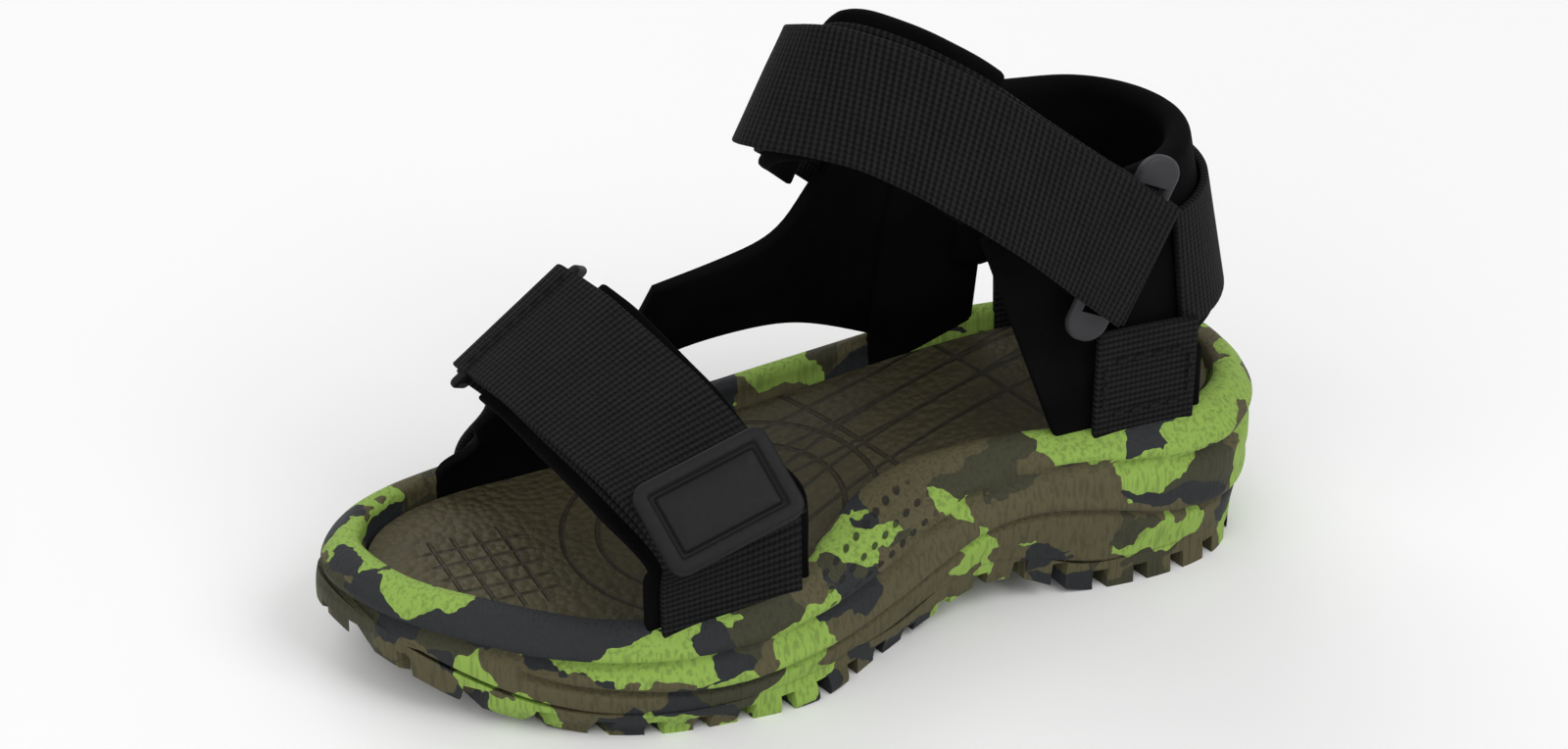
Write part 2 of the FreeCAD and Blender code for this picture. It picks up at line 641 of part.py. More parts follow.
# --- ankle strap ---------------------------------------------------------------------------
ANKLE_HEIGHT_SET_OUT = 97.5
ankle_half = size("ankle_webbing_width") / 2
ankle_low = lifted(
    [(-34.5, -25.5, 48.5), (-20.0, -25.5, 58.5), (-6.0, -22.5, 70.5), (4.0, -15.5, 79.5), (7.9, -7.0, 84.6),
     (5.4, 1.5, 86.6), (-0.4, 9.0, 87.0), (-7.6, 16.5, 85.0), (-16.7, 24.0, 80.0), (-27.0, 28.0, 71.4),
     (-35.7, 29.0, 63.3), (-44.6, 29.0, 55.4), (-50.0, 29.0, 50.6)],
    "ankle_strap_height", ANKLE_HEIGHT_SET_OUT)
ankle_high = lifted(
    [(-43.5, -23.5, 69.0), (-29.0, -23.0, 79.0), (-14.0, -20.0, 91.5), (-4.0, -13.5, 100.0), (-0.7, -6.0, 104.3),
     (-1.6, 0.5, 107.2), (-5.6, 7.0, 108.6), (-13.0, 14.0, 107.4), (-23.7, 22.0, 102.0), (-34.2, 26.0, 94.6),
     (-44.8, 28.0, 85.6), (-55.6, 28.4, 75.6), (-61.8, 28.4, 69.8)],
    "ankle_strap_height", ANKLE_HEIGHT_SET_OUT)
ankle = Ribbon(ankle_low, ankle_high)
ANKLE_HINGE = 50.0 / ankle.length
ANKLE_FLAP_END = 1.0 - 7.0 / ankle.length
RING_AT = ANKLE_FLAP_END - 4.0 / ankle.length
ring_depth = web + size("free_gap") + size("ring_thick") / 2 + size("bar_room") + web
turn_in = size("ring_thick") / 2 + size("bar_room")
turn_out = turn_in + web
r_middle, r_run, r_width, r_out, _ = ankle.frame(RING_AT)
ring_centre = r_middle - r_out * ring_depth
lateral_ring = ring_body(
    "ankle_ring",
    "sizes.ankle_webbing_width + 2 * sizes.ring_side_room + 2 * sizes.ring_end",
    "2 * sizes.ring_half_width",
    "sizes.ankle_webbing_width + 2 * sizes.ring_side_room",
    "2 * sizes.ring_half_width - 2 * sizes.ring_bar", "sizes.ring_thick",
    "sizes.ring_half_width * 0.9", "sizes.ring_bar * 0.42")
place(lateral_ring, ring_centre, r_width, r_run)
bar_offset = size("ring_half_width") - size("ring_bar") / 2
front_bar = ring_centre - r_run * bar_offset
rear_bar = ring_centre + r_run * bar_offset
front_turn = half_turn(front_bar, r_run * -1, r_width, r_out, ankle_half, turn_out, turn_in)
return_leg = leg(front_bar, r_run * -1, r_width, r_out, ankle_half, turn_in, web, 5.0)
inner_run = leg(front_bar, r_run * -1, r_width, r_out, ankle_half, -turn_out, web, 6.0)
base_end = RING_AT - (bar_offset + 6.0 + size("free_gap")) / ankle.length
add_solid("ankle_strap_base", ankle.layer(
    0, base_end, base_depth, web, ankle_half))
add_solid("ankle_ring_loop", front_turn.fuse([return_leg, inner_run]).removeSplitter())
rear_turn = half_turn(rear_bar, r_run, r_width, r_out, ankle_half, turn_out, turn_in)
rear_leg = leg(rear_bar, r_run, r_width, r_out, ankle_half, -turn_out, web, 6.0)
add_solid("ring_tab", rear_turn.fuse(rear_leg).removeSplitter())
add_solid("ankle_strap_wrap", ankle.layer(
    0.02, ANKLE_HINGE, 0, web, ankle_half))
add_solid("ankle_strap_flap", ankle.layer(
    ANKLE_HINGE + size("free_gap") / ankle.length, ANKLE_FLAP_END, 0, web, ankle_half))
add_solid("ankle_hook_patch", ankle.layer(
    ANKLE_HINGE + 8 / ankle.length, RING_AT - 12 / ankle.length, hook_depth, size("hook_thick"),
    ankle_half - margin))
add_solid("ankle_loop_patch", ankle.layer(
    ANKLE_HINGE + 4 / ankle.length, RING_AT - 11.5 / ankle.length, loop_depth, size("loop_thick"),
    ankle_half - margin))
add_solid("instep_lining", ankle.layer(
    40 / ankle.length, 106 / ankle.length, lining_depth, lining, ankle_half + size("lining_margin")))

# --- heel collar, quarter and arch panels ------------------------------------------------------
low_z = size("collar_bottom")
high_z = size("collar_top")
heel = Ribbon(
    [(-47.5, 22.0, low_z), (-61.0, 21.0, low_z), (-72.0, 14.5, low_z), (-77.0, 1.5, low_z),
     (-73.0, -11.0, low_z), (-61.5, -18.5, low_z), (-47.5, -20.5, low_z)],
    [(-49.5, 21.0, high_z), (-58.5, 18.5, high_z), (-66.5, 12.0, high_z), (-70.5, 1.2, high_z),
     (-67.0, -9.5, high_z), (-59.0, -16.5, high_z), (-49.5, -18.5, high_z)])
add_solid("heel_collar", heel.layer(0, 1, 0, size("collar_thick")))
heel_web = heel.layer(
    0.165, 0.90, -web - sewn, web, size("heel_webbing_width") / 2, shift=-3.0)
add_solid("heel_strap", heel_web)

quarter_x = size("quarter_seat_x")
quarter_length = size("quarter_seat_length")
quarter_y = seat_y(quarter_x, 1, quarter_length, 0, panel) + panel / 2
seat_z = seat_bottom(quarter_x)
q_front = quarter_x + quarter_length / 2
q_rear = quarter_x - quarter_length / 2
gap = size("free_gap")
collar_front = -47.2
quarter_lean = 3.8  # how far the front edge has come back by the time it is down in its slot
quarter_front = Ribbon(
    [(q_front - quarter_lean, quarter_y, seat_z), (-44.0, quarter_y, seat_z), (collar_front, quarter_y, seat_z)],
    [(-24.5, 19.6, 71.0), (-34.5, 20.6, 76.0), (collar_front, 20.8, high_z - 1.0)])
quarter_rear = Ribbon(
    [(collar_front + 1.0, quarter_y, seat_z), (q_rear, quarter_y, seat_z)],
    [(collar_front + 1.0, quarter_y, low_z - gap), (q_rear, quarter_y, low_z - gap)])
quarter = quarter_front.layer(0, 1, 0, panel).fuse(quarter_rear.layer(0, 1, 0, panel))
add_solid("quarter_panel", quarter.removeSplitter())

anchor_face = quarter_y + sewn + web
top_face = 22.4 + sewn + web
anchor_half = size("anchor_width") / 2
anchor_x = quarter_x - 2.0
anchor_top = low_z + 8.0
quarter_anchor = Ribbon(
    [(anchor_x + anchor_half, anchor_face, seat_z), (anchor_x, anchor_face, seat_z),
     (anchor_x - anchor_half, anchor_face, seat_z)],
    [(anchor_x + anchor_half, top_face, anchor_top), (anchor_x, top_face, anchor_top - 0.3),
     (anchor_x - anchor_half, top_face, anchor_top - 0.8)])
add_solid("quarter_anchor", quarter_anchor.layer(0, 1, 0, web))

inner_x = size("inner_anchor_x")
inner_face = seat_y(inner_x, -1, size("anchor_width"), 0, web) - web / 2
inner_low = seat_bottom(inner_x)
inner_anchor = Ribbon(
    [(inner_x - anchor_half, inner_face, inner_low), (inner_x, inner_face, inner_low),
     (inner_x + anchor_half, inner_face, inner_low)],
    [(inner_x - anchor_half, -22.2, low_z + 3.2), (inner_x, -22.2, low_z + 3.2),
     (inner_x + anchor_half, -22.4, low_z + 3.2)])
add_solid("inner_anchor", inner_anchor.layer(0, 1, 0, web))

panel_x = size("panel_seat_x")
panel_half = size("panel_seat_length") / 2
panel_length = size("panel_seat_length")
panel_face = seat_y(panel_x, -1, panel_length, 2 * lean, panel) - panel / 2
panel_low = seat_bottom(panel_x)
p_rear = panel_x - panel_length / 2
p_front = panel_x + panel_length / 2
toe_edge = size("toe_inner_seat_x") - toe_half - gap
arch_rear = Ribbon(
    [(-46.9, -20.3, low_z + 0.3), (p_rear + 1.0, -20.8, low_z - 0.4)],
    [(-46.9, -16.4, 74.0), (p_rear + 1.0, -15.6, 75.0)])
arch_foot = Ribbon(
    [(p_rear, panel_face, panel_low), (panel_x, panel_face, panel_low), (p_front, panel_face, panel_low)],
    [(p_rear, -15.4, 75.0), (panel_x, -15.0, 76.0), (p_front, -14.0, 76.5)])
arch_band = Ribbon(
    [(p_front - 1.0, panel_face, 31.0), (-12.0, panel_face - 1.2, 35.6), (-2.0, -27.0, 37.0),
     (10.0, -28.0, 35.4), (toe_edge - 1.5, -28.9, 30.5)],
    [(p_front - 1.0, -14.0, 76.5), (-11.5, -14.6, 73.0), (-4.8, -15.8, 63.0), (2.0, -19.6, 56.0),
     (toe_edge - 9.5, -25.0, 49.5)])
arch = arch_foot.layer(0, 1, 0, panel).fuse([arch_rear.layer(0, 1, 0, panel), arch_band.layer(0, 1, 0, panel)])
add_solid("arch_panel", arch.removeSplitter())


# --- stitching -------------------------------------------------------------------------------
def stitch_row(ribbon, u_start, u_end, across_start, across_end, face, stitches):
    """Thread stitches standing on a ribbon's face, from one place on it to another."""
    thread = size("stitch_size")
    row_of = []
    for i in range(stitches):
        share = (i + 0.5) / stitches
        u = u_start + (u_end - u_start) * share
        middle, run, width, out, _ = ribbon.frame(u)
        spot = middle + width * (across_start + (across_end - across_start) * share) + out * face
        along = run * ((u_end - u_start) * ribbon.length) + width * (across_end - across_start)
        along = (along - out * along.dot(out)).normalize()
        beside = out.cross(along)
        block = Part.makeBox(size("stitch_pitch") * 0.6, thread * 0.7, thread * 0.4)
        block.translate(Vector(-size("stitch_pitch") * 0.3, -thread * 0.35, 0))
        block.Placement = Placement(spot, Rotation(along, beside, out, "XYZ")).multiply(block.Placement)
        row_of.append(block)
    return row_of


def stitch_box(ribbon, low_u, high_u, low_across, high_across, face):
    """A box of stitches with its two diagonals."""
    wide = int((high_u - low_u) * ribbon.length / size("stitch_pitch"))
    tall = int((high_across - low_across) / size("stitch_pitch"))
    rows = stitch_row(ribbon, low_u, high_u, low_across, low_across, face, wide)
    rows += stitch_row(ribbon, low_u, high_u, high_across, high_across, face, wide)
    inset_u = 1.2 / ribbon.length
    for u in (low_u - inset_u, high_u + inset_u):
        rows += stitch_row(ribbon, u, u, low_across + 1, high_across - 1, face, tall)
    return rows


add_solid("anchor_stitching", Part.makeCompound(
    stitch_box(quarter_anchor, 0.14, 0.86, -1.0, 9.5, size("glue_line"))))
add_solid("toe_fold_stitching", Part.makeCompound(
    stitch_row(toe, 2.6 / toe.length, 2.6 / toe.length, -toe_half + 1, toe_half - 1, size("glue_line"), 8)))


# --- write -----------------------------------------------------------------------------------
doc.recompute()
os.makedirs("parts", exist_ok=True)
for feature in doc.Objects:
    bad = [state for state in feature.State if state in ("Invalid", "Error")]
    if bad:
        raise RuntimeError("%s is %s" % (feature.Name, bad))
for feature in NODES:
    shape = feature.Shape
    if shape.isNull() or not shape.isValid() or shape.Volume <= 0:
        raise RuntimeError("%s has no sound shape" % feature.Label)
    shape.exportStep("parts/%s.step" % feature.Label)
    print("%-24s %d solid(s) %9.1f mm3" % (feature.Label, len(shape.Solids), shape.Volume))
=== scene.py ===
"""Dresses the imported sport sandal: its webbing, neoprene, foam sole and fittings, in a plain studio."""

import logging
import math
from dataclasses import dataclass, field
from enum import Enum
from typing import Any, Dict, List, Optional, Sequence, Tuple, Union

import bmesh
import bpy
import numpy as np
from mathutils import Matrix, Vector


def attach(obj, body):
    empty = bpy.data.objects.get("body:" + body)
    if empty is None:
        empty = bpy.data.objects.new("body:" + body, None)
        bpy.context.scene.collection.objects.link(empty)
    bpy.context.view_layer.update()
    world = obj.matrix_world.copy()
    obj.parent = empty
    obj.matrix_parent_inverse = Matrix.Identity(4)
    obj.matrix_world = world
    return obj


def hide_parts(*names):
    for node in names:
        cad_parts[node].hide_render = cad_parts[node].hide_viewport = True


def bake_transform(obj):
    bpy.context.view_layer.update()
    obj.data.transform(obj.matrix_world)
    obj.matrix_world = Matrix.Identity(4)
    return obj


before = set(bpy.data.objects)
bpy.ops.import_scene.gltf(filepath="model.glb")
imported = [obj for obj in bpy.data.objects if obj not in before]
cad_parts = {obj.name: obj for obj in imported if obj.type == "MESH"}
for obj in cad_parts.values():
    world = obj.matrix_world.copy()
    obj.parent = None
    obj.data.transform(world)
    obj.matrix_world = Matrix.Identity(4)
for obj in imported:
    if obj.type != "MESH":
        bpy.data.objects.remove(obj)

MM = 0.001
Triple = Tuple[float, float, float]
log = logging.getLogger("sandal")


class Body(Enum):
    """The bodies that pieces ride on."""

    SANDAL = "sandal"
    TOE_FLAP = "toe_flap"
    ANKLE_FLAP = "ankle_flap"


def shade(red: int, green: int, blue: int) -> Tuple[float, float, float, float]:
    """A colour given in display steps from 0 to 255, as the linear values that a shader takes.

    Args:
        red: Red, in display steps.
        green: Green, in display steps.
        blue: Blue, in display steps.

    Returns:
        The linear colour with an alpha of 1.
    """
    steps = [c / 255 for c in (red, green, blue)]
    linear = [c / 12.92 if c <= 0.04045 else ((c + 0.055) / 1.055) ** 2.4 for c in steps]
    return (linear[0], linear[1], linear[2], 1.0)


# --- shader building ------------------------------------------------------------------------


class Signal:
    """A value in a material: one socket, with arithmetic that adds Math nodes."""

    def __init__(self, sheet: "ShaderSheet", socket: bpy.types.NodeSocket) -> None:
        """Wraps a socket of a sheet."""
        self.sheet = sheet
        self.socket = socket

    def math(self, operation: str, *values: Any) -> "Signal":
        """The result of a Math node.

        Args:
            operation: The Math node's operation.
            values: Its inputs, in order.

        Returns:
            The node's result.
        """
        return self.sheet.node("ShaderNodeMath", {"operation": operation}, dict(enumerate(values)))

    def __add__(self, other: Any) -> "Signal":
        """Adds a value."""
        return self.math("ADD", self, other)

    __radd__ = __add__

    def __mul__(self, other: Any) -> "Signal":
        """Multiplies by a value."""
        return self.math("MULTIPLY", self, other)

    __rmul__ = __mul__

    def __sub__(self, other: Any) -> "Signal":
        """Subtracts a value."""
        return self.math("SUBTRACT", self, other)

    def __rsub__(self, other: Any) -> "Signal":
        """Is subtracted from a value."""
        return self.math("SUBTRACT", other, self)

    def __truediv__(self, other: Any) -> "Signal":
        """Divides by a value."""
        return self.math("DIVIDE", self, other)

    def sine(self) -> "Signal":
        """The sine of the value."""
        return self.math("SINE", self)

    def size(self) -> "Signal":
        """The value without its sign."""
        return self.math("ABSOLUTE", self)

    def power(self, exponent: float) -> "Signal":
        """The value raised to a power."""
        return self.math("POWER", self, exponent)

    def within(self, low: float, high: float) -> "Signal":
        """Eases from 0 at low to 1 at high, or the other way round where low is above high.

        Args:
            low: Where the result is 0.
            high: Where the result is 1.

        Returns:
            A value from 0 to 1.
        """
        return self.sheet.node(
            "ShaderNodeMapRange", {"interpolation_type": "SMOOTHSTEP", "clamp": True},
            {"Value": self, "From Min": low, "From Max": high, "To Min": 0.0, "To Max": 1.0})


class ShaderSheet:
    """One material's node tree, ending in one principled shader."""

    def __init__(self, name: str) -> None:
        """Makes an empty material."""
        self.material = bpy.data.materials.new(name)
        self.material.use_nodes = True
        self.tree = self.material.node_tree
        self.tree.nodes.clear()

    def node(self, kind: str, settings: Optional[Dict[str, Any]] = None,
             inputs: Optional[Dict[Any, Any]] = None, output: Union[int, str] = 0) -> Signal:
        """Adds a node.

        Args:
            kind: The node's type.
            settings: Its settings; "stops" holds a ramp's (position, colour) pairs.
            inputs: Values or signals by socket name or index.
            output: The name or index of the socket to return.

        Returns:
            The chosen output.
        """
        made = self.tree.nodes.new(kind)
        for name, value in (settings or {}).items():
            if name == "stops":
                ramp = made.color_ramp
                while len(ramp.elements) < len(value):
                    ramp.elements.new(0.5)
                for element, (position, colour) in zip(ramp.elements, value):
                    element.position = position
                    element.color = colour
            else:
                setattr(made, name, value)
        for name, value in (inputs or {}).items():
            if isinstance(value, Signal):
                self.tree.links.new(value.socket, made.inputs[name])
            else:
                made.inputs[name].default_value = value
        return Signal(self, made.outputs[output])

    def place(self, source: str = "Object") -> Signal:
        """Object or UV coordinates, in metres."""
        return self.node("ShaderNodeTexCoord", {}, {}, source)

    def parts(self, vector: Signal) -> Tuple[Signal, Signal, Signal]:
        """A vector's three parts."""
        first = self.node("ShaderNodeSeparateXYZ", {}, {0: vector})
        outputs = first.socket.node.outputs
        return first, Signal(self, outputs[1]), Signal(self, outputs[2])

    def noise(self, place: Signal, scale: float, detail: float = 2.0, distortion: float = 0.0,
              offset: Triple = (0.0, 0.0, 0.0)) -> Signal:
        """Noise at a place.

        Args:
            place: The coordinates.
            scale: Features per metre.
            detail: Octaves.
            distortion: How far it is stirred.
            offset: Where the pattern starts.

        Returns:
            A value around 0.5.
        """
        moved = self.node("ShaderNodeVectorMath", {"operation": "ADD"}, {0: place, 1: offset})
        return self.node("ShaderNodeTexNoise", {}, {
            "Vector": moved, "Scale": scale, "Detail": detail, "Distortion": distortion}, 0)

    def cells(self, place: Signal, scale: float, feature: str = "F1") -> Signal:
        """Distance to the nearest of scattered points."""
        sockets = {"Vector": place, "Scale": scale}
        return self.node("ShaderNodeTexVoronoi", {"feature": feature}, sockets, "Distance")

    def stretched(self, place: Signal, scale: Triple) -> Signal:
        """Coordinates scaled along each axis."""
        return self.node("ShaderNodeVectorMath", {"operation": "MULTIPLY"}, {0: place, 1: scale})

    def mixed(self, share: Any, first: Any, second: Any) -> Signal:
        """A colour between two others.

        Args:
            share: How much of the second colour shows.
            first: The first colour.
            second: The second colour.

        Returns:
            The mixed colour.
        """
        return self.node("ShaderNodeMix", {"data_type": "RGBA"}, {0: share, 6: first, 7: second}, 2)

    def finish(self, colour: Any, roughness: Any, height: Optional[Signal] = None, depth: float = 0.0003,
               strength: float = 1.0, fixed: Optional[Dict[str, float]] = None) -> bpy.types.Material:
        """Joins the surface to the output.

        Args:
            colour: The base colour.
            roughness: The roughness.
            height: Relief, from 0 to 1.
            depth: The relief's depth in metres.
            strength: How strongly the relief shows.
            fixed: Other shader sockets' constant values.

        Returns:
            The material.
        """
        inputs: Dict[Any, Any] = {"Base Color": colour, "Roughness": roughness}
        if height is not None:
            inputs["Normal"] = self.node(
                "ShaderNodeBump", {}, {"Height": height, "Distance": depth, "Strength": strength})
        inputs.update(fixed or {})
        surface = self.node("ShaderNodeBsdfPrincipled", {}, inputs)
        self.node_output(surface)
        return self.material

    def node_output(self, surface: Signal) -> None:
        """Adds the output node for a surface."""
        end = self.tree.nodes.new("ShaderNodeOutputMaterial")
        self.tree.links.new(surface.socket, end.inputs["Surface"])


# --- finishes -----------------------------------------------------------------------------


@dataclass(frozen=True)
class Webbing:
    """Woven black tape with ribs across it."""

    rib: float = 1.15 * MM
    yarn: float = 0.95 * MM

    def build(self) -> bpy.types.Material:
        """Makes the material."""
        s = ShaderSheet("woven_tape")
        along, across, _ = s.parts(s.place("UV"))
        ribs = (along * (2 * math.pi / self.rib)).sine()
        ends = (across * (2 * math.pi / self.yarn) + ribs * 0.8).sine()
        mottle_and_shade = s.noise(s.place(), 140.0, 3.0)
        uneven = s.noise(s.place(), 900.0, 1.0)
        relief = ribs * (uneven * 0.5 + 0.05) + ends * 0.15 + mottle_and_shade * 0.3 + uneven * 0.25 + 0.35
        # The colour follows the relief: rib tops lighter and the gaps between ribs darker, which is painted
        # shade, with the noises adding random tone.
        tone = relief.within(0.2, 1.05)
        colour = s.mixed(tone, shade(7, 7, 8), shade(33, 33, 34))
        return s.finish(colour, 0.86, relief, 0.00030, 0.85, {"Specular IOR Level": 0.1})


@dataclass(frozen=True)
class Neoprene:
    """Smooth black foam cloth with a fine knit face."""

    def build(self) -> bpy.types.Material:
        """Makes the material."""
        s = ShaderSheet("neoprene_face")
        place = s.place()
        knit = s.cells(place, 1500.0)
        soft = s.noise(place, 60.0, 2.0)
        colour = s.mixed(soft.within(0.3, 0.7), shade(5, 5, 6), shade(12, 12, 13))
        return s.finish(colour, 0.92, knit * 0.6 + soft * 0.4, 0.00018, 0.6, {"Specular IOR Level": 0.04})


@dataclass(frozen=True)
class HookTape:
    """Small hooks or loops in rows."""

    name: str
    tone: int

    def build(self) -> bpy.types.Material:
        """Makes the material."""
        s = ShaderSheet(self.name)
        tufts = s.cells(s.place(), 1100.0)
        # Lighter on the tufts' tops and darker between them: painted shade between the tufts.
        colour = s.mixed(tufts.within(0.1, 0.7), shade(self.tone + 20, self.tone + 20, self.tone + 21),
                         shade(self.tone, self.tone, self.tone))
        return s.finish(colour, 0.9, 1 - tufts, 0.0005, 0.9)


@dataclass(frozen=True)
class Camouflage:
    """Patches of four colours printed through moulded foam."""

    name: str = "camo_foam"
    patch: float = 122.0
    ragged: float = 0.0052
    relief: float = 0.00035

    def patches(self, s: ShaderSheet, place: Signal) -> Signal:
        """The patches' colour.

        Args:
            s: The sheet to add to.
            place: The coordinates.

        Returns:
            The colour.
        """
        shaken = place
        for scale, reach in ((105.0, self.ragged), (420.0, self.ragged * 0.26)):
            swirl = s.node("ShaderNodeTexNoise", {}, {"Vector": place, "Scale": scale, "Detail": 1.0}, 1)
            swirl = s.node("ShaderNodeVectorMath", {"operation": "SUBTRACT"}, {0: swirl, 1: (0.5, 0.5, 0.5)})
            swirl = s.stretched(swirl, (reach * 2, reach * 2, reach * 2))
            shaken = s.node("ShaderNodeVectorMath", {"operation": "ADD"}, {0: shaken, 1: swirl})
        flat = s.stretched(shaken, (0.7, 0.7, 1.25))
        cell = s.node("ShaderNodeTexVoronoi", {"feature": "F1"}, {"Vector": flat, "Scale": self.patch}, "Color")
        pick, second, _ = s.parts(cell)
        lime = pick.math("LESS_THAN", pick, 0.28)
        coal = pick.math("GREATER_THAN", pick, 0.68)
        dark = second.math("GREATER_THAN", second, 0.74)
        colour = s.mixed(lime, shade(82, 77, 52), shade(137, 168, 74))
        colour = s.mixed(coal, colour, shade(33, 36, 38))
        return s.mixed(dark * (1 - lime), colour, shade(56, 56, 38))

    def holes(self, s: ShaderSheet, x: Signal, y: Signal, z: Signal) -> Signal:
        """Rows of small dashes pressed into the outer flank of the waist.

        Args:
            s: The sheet to add to.
            x: Place along the sole.
            y: Place across it.
            z: Height.

        Returns:
            1 inside a dash and 0 outside.
        """
        slant = z + x * 0.25
        along = (x / 0.0026).math("FRACT", x / 0.0026) - 0.5
        up = (slant / 0.0022).math("FRACT", slant / 0.0022) - 0.5
        reach = (along * along * 1.2 + up * up * 3.4).power(0.5)
        inside = reach.within(0.34, 0.22)
        area = x.within(-0.016, -0.012) * x.within(0.012, 0.008) * y.within(0.018, 0.020)
        return inside * area * slant.within(0.0195, 0.0205) * slant.within(0.0315, 0.0305)

    def build(self) -> bpy.types.Material:
        """Makes the material."""
        s = ShaderSheet(self.name)
        place = s.place()
        grain = s.noise(s.stretched(place, (1.0, 1.0, 0.12)), 1500.0, 1.0)
        fine = s.noise(place, 500.0, 2.0)
        dashes = self.holes(s, *s.parts(place))
        colour = self.patches(s, place)
        # Darkens the fine grain's grooves towards charcoal: painted shade in them.
        mottle_and_shade = s.mixed(grain.within(0.45, 0.68) * 0.3, colour, shade(26, 26, 24))
        # Darkens the pressed dashes: painted shade inside them.
        mottle_and_shade = s.mixed(dashes * 0.85, mottle_and_shade, shade(14, 14, 13))
        relief = 1 - grain + fine * 0.3 - dashes
        return s.finish(mottle_and_shade, 0.72, relief, self.relief, 0.8, {"Specular IOR Level": 0.3})


@dataclass(frozen=True)
class PebbledFoam:
    """Olive-brown foam with pebbles and moulded lines."""

    lines: Tuple[Triple, ...] = (
        (-0.080, 0.200, 0.205), (-0.080, 0.200, 0.212), (-0.080, 0.200, 0.219), (0.020, -0.210, 0.196),
        (0.020, -0.210, 0.203), (0.020, -0.210, 0.210), (0.200, 0.050, 0.165), (0.200, 0.050, 0.192),
        (0.200, 0.050, 0.219), (0.200, 0.050, 0.246), (0.016, 0.004, 0.021), (0.016, 0.004, 0.027))
    wide_arc: float = 0.05
    block: float = 4.2 * MM

    def build(self) -> bpy.types.Material:
        """Makes the material."""
        s = ShaderSheet("footbed_foam")
        place = s.place()
        x, y, _ = s.parts(place)
        pebble = s.cells(place, 620.0)
        grooves: Optional[Signal] = None
        for centre_x, centre_y, radius in self.lines:
            across, beside = x - centre_x, y - centre_y
            reach = (across * across + beside * beside).power(0.5)
            fade = x.within(0.034, 0.028) if radius > self.wide_arc else 1.0
            line = (reach - radius).size().within(0.0006, 0.0002) * fade
            grooves = line if grooves is None else grooves.math("MAXIMUM", grooves, line)
        blocks = x.math("PINGPONG", x / self.block, 0.5)
        rows = x.math("PINGPONG", y / self.block, 0.5)
        grid = blocks.math("MINIMUM", blocks, rows).within(0.12, 0.04)
        grid = grid * x.within(0.046, 0.048) * x.within(0.066, 0.064) * y.size().within(0.013, 0.011)
        grooves = grooves.math("MAXIMUM", grooves, grid)
        stain = s.noise(place, 30.0, 3.0)
        colour = s.mixed(stain.within(0.3, 0.7), shade(60, 55, 37), shade(78, 72, 50))
        # Darkens the moulded lines and the toe grid: painted shade in their grooves.
        colour = s.mixed(grooves * 0.6, colour, shade(27, 25, 18))
        relief = 0.8 - pebble * 0.8 - grooves * 0.7
        return s.finish(colour, 0.68, relief, 0.0008, 1.0, {"Specular IOR Level": 0.35})


@dataclass(frozen=True)
class Moulded:
    """Plain moulded plastic or rubber with a fine grain."""

    name: str
    light: Tuple[int, int, int]
    dark: Tuple[int, int, int]
    roughness: float
    grain: float = 900.0

    def build(self) -> bpy.types.Material:
        """Makes the material."""
        s = ShaderSheet(self.name)
        place = s.place()
        grain = s.noise(place, self.grain, 3.0)
        cloud = s.noise(place, 45.0, 2.0)
        colour = s.mixed(cloud.within(0.35, 0.65), shade(*self.dark), shade(*self.light))
        return s.finish(colour, grain * 0.15 + self.roughness, grain, 0.0001, 0.5, {"Specular IOR Level": 0.22})


class Finishes:
    """Every material, made once."""

    def __init__(self) -> None:
        """Builds them all."""
        self.webbing = Webbing().build()
        self.neoprene = Neoprene().build()
        self.hook = HookTape("hook_tape", 16).build()
        self.loop = HookTape("loop_tape", 22).build()
        self.camo = Camouflage().build()
        self.footbed = PebbledFoam().build()
        self.ring = Moulded("ring_plastic", (54, 54, 57), (42, 42, 45), 0.42).build()
        self.badge = Moulded("badge_rubber", (21, 21, 22), (15, 15, 16), 0.55).build()
        self.thread = Moulded("thread", (24, 24, 25), (16, 16, 17), 0.9, 2500.0).build()


# --- webbing laid along bands -----------------------------------------------------------------


@dataclass(frozen=True)
class Station:
    """One cross-section of a strap: the middle of its outer face and its directions."""

    middle: Vector
    width: Vector
    out: Vector
    half: float


